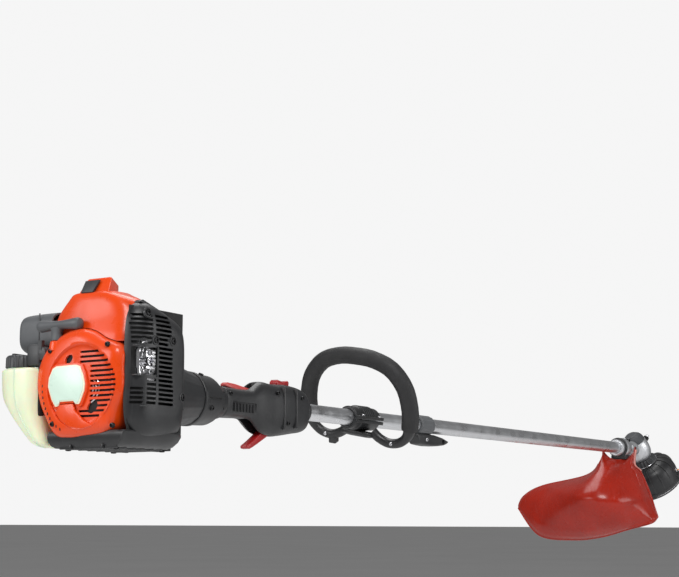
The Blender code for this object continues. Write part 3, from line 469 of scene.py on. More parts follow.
def upright(origin, right=(1, 0, 0), up=(0, 0, 1)):
    """A frame whose X and Y are the given directions."""
    right = Vector(right).normalized()
    up = Vector(up)
    up = (up - right * up.dot(right)).normalized()
    turn = Matrix((right, up, right.cross(up))).transposed().to_4x4()
    return Matrix.Translation(origin) @ turn


def oval(centre, half_width, half_height, power=2.6, count=64):
    """A superellipse, as (u, v) pairs."""
    section = []
    for index in range(count):
        angle = 2 * math.pi * index / count
        cosine = math.cos(angle)
        sine = math.sin(angle)
        u = centre[0] + half_width * math.copysign(abs(cosine) ** (2 / power), cosine)
        v = centre[1] + half_height * math.copysign(abs(sine) ** (2 / power), sine)
        section.append((u, v))
    return section


def screws(name, spots, radius, look="screw_black", body="frame", turn=None):
    """Pan-head screws with a hexagon socket, each at a place and pointing along an axis."""
    bm = bmesh.new()
    count = 24
    for origin, axis in spots:
        stand = aim(origin, axis)
        rings = []
        for reach, height, hexagon in (
            (1.00, -0.5, False),
            (1.00, 0.25, False),
            (0.86, 0.50, False),
            (0.55, 0.56, True),
            (0.52, 0.10, True),
        ):
            ring = []
            for step in range(count):
                angle = 2 * math.pi * step / count
                sector = (angle % (math.pi / 3)) - math.pi / 6
                share = math.cos(math.pi / 6) / math.cos(sector) if hexagon else 1.0
                far = radius * reach * share
                point = Vector((far * math.cos(angle), far * math.sin(angle), radius * height))
                ring.append(stand @ point)
            rings.append(ring)
        skin(bm, rings)
    return place(shape(name, bm), look, body, turn=turn)


# ------------------------------------------------------------ recoil starter


STARTER_CENTRE = (0.0100, 0.0025)
LOUVRE_CENTRE = (-0.0020, 0.0040)
LOUVRE_PITCH = 0.0057


def starter_outline(count=96):
    """(y, z) directions and distances of the starter's edge, by angle from its right side."""
    controls = [(0, 57.5), (18, 60), (36, 69), (48, 66), (62, 62), (80, 65), (99, 69), (119, 71)]
    controls += [(137, 73), (152, 74), (166, 73), (180, 71), (196, 68.5), (213, 67), (227, 69)]
    controls += [(238, 69), (250, 64), (270, 59), (286, 60), (300, 64), (310, 66), (319, 62)]
    controls += [(330, 57.5), (345, 57)]
    fine = curve_through(controls + [(360, 57.5)], 8)
    outline = []
    for step in range(count):
        angle = 360.0 * step / count
        for first, second in zip(fine, fine[1:]):
            if first[0] <= angle <= second[0]:
                share = (angle - first[0]) / (second[0] - first[0])
                outline.append((first[1] + share * (second[1] - first[1])) / 1000)
                break
    return outline


def starter_point(angle, reach, x, centre=STARTER_CENTRE):
    return (x, centre[0] - reach * math.cos(angle), centre[1] + reach * math.sin(angle))


def starter():
    """The starter's shell: a rounded rim round a sunken grille, with its wall turned in behind."""
    outline = starter_outline()
    count = len(outline)
    angles = [2 * math.pi * step / count for step in range(count)]
    wall = 0.0022

    def edge_ring(x, inset, roundness):
        ring = []
        for angle, reach in zip(angles, outline):
            rim = 0.0500 + 0.002 * math.cos(angle)
            far = (1 - roundness) * (reach - inset) + roundness * rim
            ring.append(starter_point(angle, far, x))
        return ring

    def disc_ring(x, far):
        return [starter_point(angle, far, x) for angle in angles]

    rim = [(0.0430, 0.0, 0.0), (0.0200, 0.0, 0.0), (0.0120, 0.0006, 0.0), (0.0070, 0.0022, 0.0)]
    rim += [(0.0035, 0.0050, 0.05), (0.0015, 0.0090, 0.25), (0.0006, 0.0130, 0.55), (0.0004, 0.0150, 1.0)]
    disc = [(0.0014, 0.0478), (0.0036, 0.0464), (0.0040, 0.0440), (0.0036, 0.0150)]
    outer = [edge_ring(*row) for row in rim] + [disc_ring(*row) for row in disc]
    inner = [edge_ring(x if x > 0.04 else x + wall, inset + wall, share) for x, inset, share in rim[:5]]
    inner += [disc_ring(0.0066, 0.0440), disc_ring(0.0062, 0.0150)]
    shell = loft("starter_shell", list(reversed(inner)) + outer)
    bm = bmesh.new()
    for row in range(15):
        z = LOUVRE_CENTRE[1] + 0.0432 - LOUVRE_PITCH * row
        reach = 0.0405**2 - (z - LOUVRE_CENTRE[1]) ** 2
        if reach <= 0.0001:
            continue
        right = LOUVRE_CENTRE[0] - math.sqrt(reach)
        left = -0.004 if abs(z) < 0.026 else 0.012
        add_box(bm, (-0.004, right, z - 0.0014), (0.010, left, z + 0.0014))
    cutters = [rounded(shape("louvres", bm), 0.0007, 2)]
    for y, z, wide, high in ((0.0290, 0.0340, 0.0066, 0.0046), (-0.0085, -0.0225, 0.0090, 0.0062)):
        tilt = aim((0.0, y, z), (-1, 0, 0)) @ Matrix.Rotation(math.radians(40), 4, "Z")
        ends = [[(u, v, h) for u, v in oval((0, 0), wide, high, 2.0, 32)] for h in (-0.01, 0.01)]
        eye = loft("eye", ends)
        eye.data.transform(tilt)
        cutters.append(eye)
    shell = carved(shell, *cutters, solver="MANIFOLD")
    place(shell, "orange_plastic", replaced=("starter_housing",))
    starter_grille()


def starter_grille():
    """What shows on and through the grille: a near-black sheet of painted shade behind the louvres, badge, collar,
    vents drawn as painted shade, and panel.
    """
    # Painted shade: a near-black sheet behind the louvres, darkening what shows through them.
    screen = [[starter_point(2 * math.pi * k / 64, far, x) for k in range(64)]
              for x, far in ((0.0080, 0.049), (0.0072, 0.049), (0.0070, 0.044), (0.0069, 0.010))]
    place(loft("starter_grille_shade", screen), "painted_shade_black")
    plate = [(0.0494, 0.0236), (0.0440, 0.0262), (0.0140, 0.0266), (0.0080, 0.0247), (0.0030, 0.0150)]
    plate += [(0.0000, 0.0040), (0.0008, -0.0040), (0.0065, -0.0170), (0.0085, -0.0190)]
    plate += [(0.0130, -0.0188), (0.0160, -0.0150), (0.0370, -0.0152), (0.0395, -0.0200)]
    plate += [(0.0440, -0.0208), (0.0500, -0.0120), (0.0560, 0.0030), (0.0550, 0.0130)]
    middle = (0.0280, 0.0040)
    turn = upright((0, 0, 0), (0, 1, 0), (0, 0, 1))
    for name, look, share, x, bevel in (
        ("badge_rim_plate", "badge_rim", 1.0, 0.00015, 0.0003),
        ("badge_face_plate", "badge_face", 0.93, -0.00045, 0.0002),
    ):
        outline = [
            (middle[0] + share * (y - middle[0]), middle[1] + share * (z - middle[1]))
            for y, z in plate
        ]
        lift = Matrix.Translation((x, 0, 0)) @ turn
        place(slab(name, outline, 0.0016, lift, bevel), look)
    backing = [
        (middle[0] + 1.10 * (y - middle[0]), middle[1] + 1.12 * (z - middle[1])) for y, z in plate
    ]
    lift = Matrix.Translation((0.0022, 0, 0)) @ turn
    place(slab("badge_seat", backing, 0.0034, lift, 0.0009), "orange_plastic")
    swoosh = [(0.0375, -0.0185), (0.0180, -0.0180), (0.0150, -0.0260), (0.0020, -0.0370)]
    swoosh += [(-0.0120, -0.0440), (0.0040, -0.0475), (0.0220, -0.0450), (0.0360, -0.0370)]
    swoosh += [(0.0440, -0.0270)]
    lift = Matrix.Translation((0.0016, 0, 0)) @ turn
    place(slab("starter_swoosh", swoosh, 0.0034, lift, 0.0009), "orange_plastic")
    # Painted shade: small near-black blocks set into the rim where its vents are dark.
    spots = []
    for degrees in range(178, 246, 7):
        angle = math.radians(degrees)
        spots.append(Vector(starter_point(angle, 0.0562, 0.0021)))
    bm = bmesh.new()
    for spot in spots:
        add_box(bm, spot - Vector((0.0012, 0.0008, 0.0016)), spot + Vector((0.0002, 0.0008, 0.0016)))
    place(rounded(shape("starter_rim_vent_shade", bm), 0.0004, 2), "painted_shade_black")
    collar = [(0.0, 0.0120), (0.0050, 0.0120), (0.0078, 0.0108), (0.0092, 0.0), (0.0, 0.0)]
    box_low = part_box("starter_rope")[0] - ORIGIN
    rope_y = (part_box("starter_rope")[1].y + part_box("starter_rope")[0].y) / 2
    rope_x = (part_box("starter_rope")[1].x - ORIGIN.x + box_low.x) / 2
    place(turned("rope_collar", collar, (rope_x, rope_y, 0.0455), bevel=0.0006), "orange_plastic")
    low, high = 0.0360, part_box("starter_grip")[0].z - ORIGIN.z + 0.0020
    rings = []
    for step in range(25):
        z = low + (high - low) * step / 24
        rings.append([(u, v, z) for u, v in oval((rope_x, rope_y), 0.0016, 0.0016, 2.0, 12)])
    rope = loft("pull_rope", rings)
    place(rope, "rope", body=None, replaced=("starter_rope",))
    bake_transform(rope)
    starter_grip(rope_x, rope_y)
    corners = [(0.0016, 0.0045 - 0.045 * side, -0.0425 - 0.002 * side) for side in (-1, 1)]
    corners += [(0.0016, -0.0305, 0.0480), (0.0016, 0.0560, 0.0450)]
    screws("starter_screws", [(corner, (-1, 0, 0)) for corner in corners], 0.0030)


def starter_grip(x, y):
    """The moulded T of the pull, with its waisted stem and fluted bar."""
    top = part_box("starter_grip")[1].z
    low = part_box("starter_grip")[0].z
    bar_z = top - 0.0068
    rings = []
    for share in [step / 24 for step in range(25)]:
        along = -0.0345 + 0.069 * share
        end = max(0.0, abs(2 * share - 1) - 0.80) / 0.20
        size = math.sqrt(max(0.02, 1 - end**2))
        swell = 0.0062 + 0.0012 * math.cos(2 * math.pi * share)
        section = oval((x, bar_z), (0.0066 + 0.0006 * abs(2 * share - 1)) * size, swell * size, 2.3, 32)
        rings.append([(u, y - 0.004 + along, v) for u, v in section])
    bar = loft("starter_pull_bar", rings)
    place(bar, "grey_plastic", "pull", ("starter_grip",))
    rings = []
    for z, wide, deep in (
        (low, 0.0070, 0.0062),
        (low + 0.004, 0.0068, 0.0058),
        (low + 0.009, 0.0064, 0.0054),
        (low + 0.013, 0.0078, 0.0056),
        (bar_z - 0.001, 0.0125, 0.0060),
    ):
        section = oval((x, y), deep, wide, 2.6, 32)
        rings.append([(u, v, z) for u, v in section])
    stem = loft("starter_pull_stem", [tuple(ring) for ring in rings])
    place(rounded(stem, 0.0006), "grey_plastic", "pull")


# --------------------------------------------------------------------- hood


def hood_recess(x, y, z):
    """Draws the hood's right front corner back as it rises, behind the muffler cover's slope."""
    rise = min(1.0, max(0.0, z - 0.066) / 0.036)
    side = min(1.0, max(0.0, 0.030 - y) / 0.050)
    return 0.044 * rise * side * min(1.0, max(0.0, x - 0.050) / 0.060)


def hood():
    """The orange hood over the cylinder, one shell from its block down to the starter's arc."""
    rows = [
        (0.1168, 0.0400, 0.0900, -0.0020, 0.0470, 3.0),
        (0.1162, 0.0310, 0.0970, -0.0080, 0.0520, 4.0),
        (0.1140, 0.0262, 0.1000, -0.0130, 0.0545, 4.5),
        (0.1110, 0.0245, 0.1035, -0.0210, 0.0575, 4.5),
        (0.1070, 0.0232, 0.1065, -0.0300, 0.0620, 4.2),
        (0.1010, 0.0220, 0.1105, -0.0375, 0.0680, 4.2),
        (0.0920, 0.0205, 0.1130, -0.0425, 0.0745, 4.4),
        (0.0820, 0.0185, 0.1142, -0.0450, 0.0775, 4.6),
        (0.0720, 0.0160, 0.1145, -0.0465, 0.0785, 4.8),
        (0.0620, 0.0135, 0.1145, -0.0475, 0.0790, 5.0),
        (0.0530, 0.0120, 0.1145, -0.0480, 0.0790, 5.0),
    ]
    rings = []
    for z, x0, x1, y0, y1, power in curve_through(rows, 3):
        section = oval(((x0 + x1) / 2, (y0 + y1) / 2), (x1 - x0) / 2, (y1 - y0) / 2, power, 96)
        rings.append([(x - hood_recess(x, y, z), y, z) for x, y in section])
    shell = walled(loft("hood_shell", rings, caps=(True, False)), COVER_WALL)
    hollow_ring = []
    outline = starter_outline()
    for x in (-0.02, 0.0445):
        ring = []
        for step, reach in enumerate(outline):
            angle = 2 * math.pi * step / len(outline)
            ring.append(starter_point(angle, reach + 0.0006, x))
        hollow_ring.append(ring)
    place(carved(shell, loft("starter_clearance", hollow_ring)), "orange_plastic",
          replaced=("top_cover",))
    wedge = []
    for z, lean, side, left in ((0.1080, -0.0080, 0.0, 0.0170), (0.1150, -0.0040, 0.0, 0.0100),
                                (0.1330, 0.0010, 0.0, 0.0)):
        corners = [(0.0345 + lean, -0.0060 - side), (0.0345 + lean, 0.0315 + left),
                   (0.0880, 0.0330 + left), (0.0880, 0.0280)]
        wedge.append([(x, y, z) for x, y in corners])
    place(rounded(loft("hood_block", wedge), 0.0024, 4), "orange_plastic")
    latch = [(0.0305, 0.1296), (0.0085, 0.1296), (0.0150, 0.1136), (0.0335, 0.1140)]
    lean = upright((0, 0, 0), (0, 1, 0), (0.34, 0, 1))
    turn = Matrix.Translation((-0.0099, 0, 0.0068)) @ lean
    outline = [(y, z) for y, z in latch]
    place(slab("hood_latch", outline, 0.0030, turn, 0.0008), "dark_plastic")
    screws("hood_screws", [((0.0560, 0.0215, 0.1330), (0, 0, 1))], 0.0038)


# ------------------------------------------------------------------ exhaust


SLOT_TOP = 0.0825
SLOT_PITCH = 0.0053


def cover_height(x, z):
    """Lets the cover's top and bottom edges close in towards its front corner."""
    share = min(1.0, max(0.0, x - 0.034) / 0.085)
    if z > 0:
        return z - 0.030 * share**1.4 * (z / 0.1) ** 2
    return z + 0.007 * share**2 * (z / 0.0575) ** 2


def muffler_cover():
    """The black guard over the exhaust, with its slots and the window on the muffler."""
    rows = [
        (-0.0684, 0.0430, 0.0920, -0.0310, 0.0750, 3.6),
        (-0.0676, 0.0365, 0.0970, -0.0370, 0.0800, 3.8),
        (-0.0655, 0.0280, 0.1040, -0.0450, 0.0870, 4.2),
        (-0.0625, 0.0220, 0.1100, -0.0500, 0.0925, 4.4),
        (-0.0580, 0.0172, 0.1160, -0.0545, 0.0970, 4.6),
        (-0.0520, 0.0140, 0.1202, -0.0570, 0.0998, 4.8),
        (-0.0460, 0.0128, 0.1210, -0.0575, 0.1005, 4.8),
    ]
    rings = []
    for y, x0, x1, z0, z1, power in curve_through(rows, 2):
        section = oval(((x0 + x1) / 2, (z0 + z1) / 2), (x1 - x0) / 2, (z1 - z0) / 2, power, 120)
        rings.append([(x, y + 0.36 * max(0.0, x - 0.094), cover_height(x, z)) for x, z in section])
    shell = walled(loft("muffler_guard", rings, caps=(True, False)), COVER_WALL)
    bm = bmesh.new()
    for row in range(20):
        z = SLOT_TOP - SLOT_PITCH * row
        if z > 0.060:
            spans = [(0.0150 + 0.25 * max(0.0, z - 0.072), 0.0385)]
            spans += [(0.0425, 0.0710 - 0.2 * max(0.0, z - 0.07))]
        elif z > 0.0480:
            spans = [(0.0150, 0.0360), (0.0470, 0.0650)]
        elif z > 0.0105:
            spans = [(0.0480, 0.0735)]
        elif z > 0.002:
            spans = [(0.0300, 0.0440), (0.0480, 0.0745)]
        else:
            spans = [(0.0150, 0.0260), (0.0300, 0.0440), (0.0485, 0.0755)]
        for start, end in spans:
            add_box(bm, (start, -0.090, z - 0.00165), (end, -0.0475, z + 0.00165))
    slots = rounded(shape("slots", bm), 0.0007, 2)
    window = box("window", (0.0150, -0.090, 0.0135), (0.0440, -0.0475, 0.0455), 0.0016)
    place(carved(shell, slots, window), "black_plastic", replaced=("muffler_cover",))
    # Painted shade: a near-black sheet behind the cover's slots, so they read dark.
    slot_shade_sheet = boxes("slot_backing_shade", [((0.0160, -0.0496, -0.0500), (0.1160, -0.0484, 0.0940))], 0.0005)
    place(slot_shade_sheet, "painted_shade_black")
    bars = [((0.0440, -0.0700, 0.0120), (0.0462, -0.0665, 0.0470))]
    bars += [((0.0150, -0.0640, low), (0.0440, -0.0560, low + 0.0016)) for low in (0.0118, 0.0456)]
    place(boxes("window_frame", bars, 0.0005), "black_plastic")
    spots = [((0.0300, -0.0655, 0.0850), (-0.1, -1, 0.15)), ((0.0730, -0.0688, 0.0560), (0, -1, 0))]
    spots += [((0.0420, -0.0683, 0.0540), (0, -1, 0)), ((0.0930, -0.0680, -0.0085), (0.1, -1, 0))]
    screws("muffler_cover_screws", spots, 0.0032)
    bosses = bmesh.new()
    for origin, axis in spots:
        stand = aim(origin, axis)
        rings = []
        for far, height in ((0.0060, -0.002), (0.0056, 0.0006), (0.0044, 0.0010), (0.0040, -0.0010)):
            angles = [2 * math.pi * step / 32 for step in range(32)]
            rings.append([stand @ Vector((far * math.cos(a), far * math.sin(a), height)) for a in angles])
        skin(bosses, rings)
    place(shape("screw_bosses", bosses), "black_plastic")
    catch = [(0.0, 0.0), (0.044, -0.0004), (0.050, 0.0015), (0.044, 0.0034), (0.004, 0.0042)]
    turn = upright((0.0310, -0.0480, 0.0990), (0.965, 0, -0.262), (0.262, 0, 0.965))
    place(slab("muffler_cover_catch", catch, 0.0110, turn, 0.0008), "black_plastic")
    lines = [((0.020, -0.0662, -0.0230), (0.100, -0.0640, -0.0215))]
    place(boxes("muffler_cover_line", lines, 0.0005), "black_plastic")


def muffler():
    """The bright pressed can behind the window, with a stamped face and its outlet screen."""
    rings = []
    for y, grow, power in (
        (-0.0340, 0.0000, 5.0),
        (-0.0480, 0.0000, 5.0),
        (-0.0520, -0.0012, 5.0),
        (-0.0535, -0.0030, 4.0),
        (-0.0535, -0.0065, 4.0),
        (-0.0528, -0.0080, 4.0),
        (-0.0528, -0.0105, 4.0),
        (-0.0541, -0.0125, 4.0),
        (-0.0545, -0.0150, 4.0),
    ):
        section = oval((0.0600, 0.0330), 0.0320 + grow, 0.0270 + grow, power, 72)
        rings.append([(x, y, z) for x, z in section])
    can = loft("muffler_can", rings)
    inlet = turned("inlet_hole", [(0.0, 0.010), (0.0080, 0.010), (0.0080, -0.010), (0.0, -0.010)],
                   (0.078, -0.034, 0.044), (0, 1, 0), 32)
    place(carved(can, inlet), "chrome_steel", replaced=("muffler",))
    tube = [(0.0045, 0.0105), (0.0052, 0.0105), (0.0052, 0.0), (0.0042, 0.0), (0.0042, 0.0105)]
    place(turned("exhaust_outlet", tube, (0.0410, -0.0530, 0.0300), (-0.1, -1, 0.0), 40, 0.0003),
          "chrome_steel")
    bm = bmesh.new()
    for step in range(4):
        add_box(bm, (0.0330, -0.0550, 0.0180 + 0.0052 * step), (0.0352, -0.0530, 0.0215 + 0.0052 * step))
    place(rounded(shape("muffler_strap", bm), 0.0005, 2), "steel")
    bolts = [((0.0480, -0.0548, z), (0, -1, 0)) for z in (0.0410, 0.0190)]
    screws("muffler_bolts", bolts,
           0.0034, "steel")


# -------------------------------------------------------- intake and fuel tank


def filter_cover():
    rows = [
        (0.1365, 0.0400, 0.1080, 0.0600, 0.0860, 3.2),
        (0.1358, 0.0345, 0.1140, 0.0545, 0.0915, 3.4),
        (0.1330, 0.0300, 0.1180, 0.0500, 0.0960, 3.6),
        (0.1280, 0.0288, 0.1190, 0.0482, 0.0978, 4.0),
        (0.1050, 0.0285, 0.1192, 0.0480, 0.0985, 4.2),
        (0.0800, 0.0285, 0.1192, 0.0480, 0.0985, 4.2),
    ]
    rings = []
    for y, x0, x1, z0, z1, power in curve_through(rows, 3):
        section = oval(((x0 + x1) / 2, (z0 + z1) / 2), (x1 - x0) / 2, (z1 - z0) / 2, power, 96)
        drop = 0.0
        rings.append([(x, y, z - drop * x) for x, z in section])
    cover = walled(loft("filter_cover_shell", rings, caps=(True, False)), COVER_WALL)
    place(cover, "grey_plastic", replaced=("air_filter_cover",))
    ribs = [((0.0500 + 0.0120 * k, 0.1355, 0.0620), (0.0522 + 0.0120 * k, 0.1374, 0.0840)) for k in range(4)]
    place(boxes("filter_cover_ribs", ribs, 0.0006), "grey_plastic")
    knob = [(0.0, 0.0055), (0.0075, 0.0050), (0.0085, 0.0040), (0.0088, 0.0), (0.0, 0.0)]
    fluted = turned("filter_cover_knob", knob, (0.0740, 0.1368, 0.0540), (0, 1, 0), 72,
                    wave=lambda a, r, h: r * (1 + 0.05 * math.cos(12 * a)) if r > 0.005 else r)
    place(fluted, "dark_plastic")
    seam = [((0.0278, 0.0990, 0.0500), (0.0290, 0.1004, 0.0960))]
    place(boxes("filter_cover_clip", seam, 0.0003), "dark_plastic")


def fuel_tank():
    """The translucent tank, its moulding seam, neck and ribbed cap."""
    rows = [
        (0.0278, 0.0020, 0.0800, 0.0830, 0.1265, 3.6),
        (0.0274, -0.0025, 0.0835, 0.0790, 0.1305, 4.0),
        (0.0255, -0.0052, 0.0862, 0.0762, 0.1332, 4.4),
        (0.0215, -0.0062, 0.0875, 0.0755, 0.1342, 4.6),
        (-0.0050, -0.0062, 0.0880, 0.0755, 0.1312, 4.6),
        (-0.0220, -0.0052, 0.0880, 0.0752, 0.1215, 4.4),
        (-0.0390, -0.0022, 0.0880, 0.0720, 0.1085, 4.2),
        (-0.0530, 0.0018, 0.0862, 0.0675, 0.0975, 4.0),
        (-0.0610, 0.0052, 0.0830, 0.0655, 0.0905, 3.8),
        (-0.0650, 0.0110, 0.0770, 0.0660, 0.0835, 3.6),
        (-0.0663, 0.0180, 0.0700, 0.0680, 0.0790, 3.2),
    ]
    rings = []
    for z, x0, x1, y0, y1, power in curve_through(rows, 4):
        section = oval(((x0 + x1) / 2, (y0 + y1) / 2), (x1 - x0) / 2, (y1 - y0) / 2, power, 96)
        rings.append([(x, y, z) for x, y in section])
    place(loft("tank_body", rings), "tank_plastic", replaced=("fuel_tank",))
    seam = []
    for z, x0, x1, y0, y1, power in curve_through(rows[2:], 4):
        seam.append((x0 - 0.0002, (y0 + y1) / 2, z))
    place(pipe("tank_seam", seam, 0.0007, sides=3), "tank_plastic")
    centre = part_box("fuel_cap")
    x = (centre[0].x + centre[1].x) / 2 - ORIGIN.x
    y = (centre[0].y + centre[1].y) / 2
    z = 0.0285
    neck = [(0.0120, 0.0012), (0.0150, 0.0012), (0.0158, -0.0010), (0.0158, -0.0040), (0.0120, -0.0040)]
    place(turned("tank_neck", neck, (x, y, z - 0.0010), bevel=0.0004), "tank_plastic")
    cap = [(0.0, 0.0158), (0.0110, 0.0156), (0.0142, 0.0150), (0.0158, 0.0138), (0.0168, 0.0120)]
    cap += [(0.0170, 0.0006), (0.0160, 0.0), (0.0, 0.0)]
    ribbed = turned("fuel_cap_body", cap, (x, y, z), steps=216,
                    wave=lobed(-0.045, 18, 2, 0.0155))
    place(ribbed, "dark_plastic", "cap", ("fuel_cap",))
    bm = bmesh.new()
    add_box(bm, (x - 0.0125, y - 0.0022, z + 0.0150), (x + 0.0125, y + 0.0022, z + 0.0172))
    place(rounded(shape("fuel_cap_grip", bm), 0.0009), "dark_plastic", "cap")
    step_box = [((0.0080, 0.0800, 0.0300), (0.0300, 0.1000, 0.0560))]
    place(boxes("tank_shoulder", step_box, 0.0030), "dark_plastic")
    # Painted shade: a near-black panel against the tank's inner face, darkening what shows through and beside the
    # tank.
    panel = [((0.0060, 0.0745, -0.0300), (0.0400, 0.0790, 0.0330))]
    place(boxes("tank_inner_shade", panel, 0.0016), "painted_shade_black")


def engine_base():
    """The ribbed black tray under the engine."""
    outline = [(0.0010, 0.0560), (0.0080, 0.0630), (0.0500, 0.0640), (0.0920, 0.0620), (0.1180, 0.0420)]
    outline += [(0.1245, 0.0100), (0.1240, -0.0280), (0.1020, -0.0500), (0.0600, -0.0500)]
    outline += [(0.0200, -0.0450), (0.0030, -0.0360), (0.0000, 0.0100)]
    path = curve_through(outline, 6, closed=True)
    middle = (0.062, 0.006)
    rings = []
    for z, share, lean in (
        (-0.0490, 0.970, -0.0090),
        (-0.0510, 0.990, -0.0090),
        (-0.0540, 1.000, -0.0080),
        (-0.0600, 0.985, -0.0050),
        (-0.0650, 0.940, -0.0020),
        (-0.0680, 0.870, 0.0),
    ):
        ring = []
        for x, y in path:
            shift = lean if y < 0 else 0.0
            x = max(x, 0.0080)
            ring.append((middle[0] + share * (x - middle[0]), middle[1] + share * (y - middle[1]) + shift, z))
        rings.append(ring)
    tray = loft("engine_tray", rings)
    place(tray, "black_plastic", replaced=("engine_base",))
    bm = bmesh.new()
    for step in range(7):
        x = 0.0130 + 0.0160 * step
        add_box(bm, (x, -0.0380, -0.0695), (x + 0.0030, 0.0480, -0.0640))
    add_box(bm, (0.0100, -0.0200, -0.0700), (0.1140, -0.0165, -0.0640))
    add_box(bm, (0.0100, 0.0280, -0.0700), (0.1140, 0.0315, -0.0640))
    place(rounded(shape("engine_tray_ribs", bm), 0.0008, 2), "black_plastic")
    spots = [((0.0220, -0.0300, -0.0690), (0, 0, -1)), ((0.0220, 0.0420, -0.0690), (0, 0, -1))]
    spots += [((0.1050, -0.0300, -0.0690), (0, 0, -1)), ((0.1000, 0.0400, -0.0690), (0, 0, -1))]
    screws("engine_tray_screws", spots, 0.0035)


# ------------------------------------------------------------ clutch to grip


def clutch_parts():
    """The flared housings between the engine and the grip."""
    ribs = lobed(0.014, 16, 4)
    shell = [(0.0322, 0.0690), (0.0335, 0.0680), (0.0350, 0.0580), (0.0395, 0.0350), (0.0440, 0.0150)]
    shell += [(0.0462, 0.0060), (0.0462, 0.0040), (0.0420, 0.0040), (0.0340, 0.0400), (0.0300, 0.0690)]
    place(turned("clutch_shell", shell, (0.1160, 0, 0), (1, 0, 0), 128, 0.0004, ribs),
          "black_plastic", replaced=("clutch_housing",))
    ring = [(0.0286, 0.0430), (0.0300, 0.0420), (0.0302, 0.0380), (0.0318, 0.0370), (0.0330, 0.0080)]
    ring += [(0.0344, 0.0070), (0.0346, 0.0010), (0.0336, 0.0), (0.0300, 0.0), (0.0255, 0.0430)]
    place(turned("clutch_ring", ring, (0.1855, 0, 0), (1, 0, 0), 96, 0.0004),
          "black_plastic", replaced=("clutch_cover",))
    neck = [(0.0205, 0.0215), (0.0220, 0.0205), (0.0228, 0.0160), (0.0262, 0.0060), (0.0282, 0.0010)]
    neck += [(0.0274, 0.0), (0.0250, 0.0), (0.0190, 0.0215)]
    place(turned("grip_neck", neck, (0.2292, 0, 0), (1, 0, 0), 96, 0.0004),
          "black_plastic", replaced=("grip_flange",))
    spots = []
    for degrees in (-22, 158, 68, 248):
        angle = math.radians(degrees)
        axis = Vector((0.05, -math.cos(angle), math.sin(angle)))
        spots.append((Vector((0.2010, 0, 0)) + 0.0330 * axis, axis))
    screws("clutch_ring_screws", spots, 0.0034)
    spots = []
    for degrees in (25, -25, 155, 205):
        angle = math.radians(degrees)
        axis = Vector((0.35, -math.cos(angle), math.sin(angle)))
        spots.append((Vector((0.2370, 0, 0)) + 0.0245 * Vector((0, axis.y, axis.z)), axis))
    screws("grip_neck_screws", spots, 0.0026)
    # Painted shade: a near-black strip along the clutch ring's parting line, darker than its black plastic.
    seam = [((0.1870, -0.0345, 0.0006), (0.2270, -0.0322, 0.0014))]
    place(boxes("clutch_ring_seam_shade", seam, 0.0002), "painted_shade_black")


# --------------------------------------------------------------- rear handle


GRIP_ROWS = [
    (0.2525, -0.0185, 0.0195, 0.0178),
    (0.2560, -0.0195, 0.0205, 0.0187),
    (0.2800, -0.0190, 0.0200, 0.0180),
    (0.3000, -0.0184, 0.0200, 0.0178),
    (0.3160, -0.0205, 0.0212, 0.0180),
    (0.3270, -0.0280, 0.0270, 0.0186),
    (0.3370, -0.0345, 0.0325, 0.0193),
    (0.3480, -0.0378, 0.0335, 0.0198),
    (0.3600, -0.0392, 0.0325, 0.0202),
    (0.3720, -0.0392, 0.0322, 0.0210),
    (0.3950, -0.0365, 0.0336, 0.0218),
    (0.4200, -0.0330, 0.0325, 0.0212),
    (0.4360, -0.0310, 0.0300, 0.0206),
    (0.4440, -0.0285, 0.0270, 0.0198),
    (0.4470, -0.0245, 0.0235, 0.0185),
]


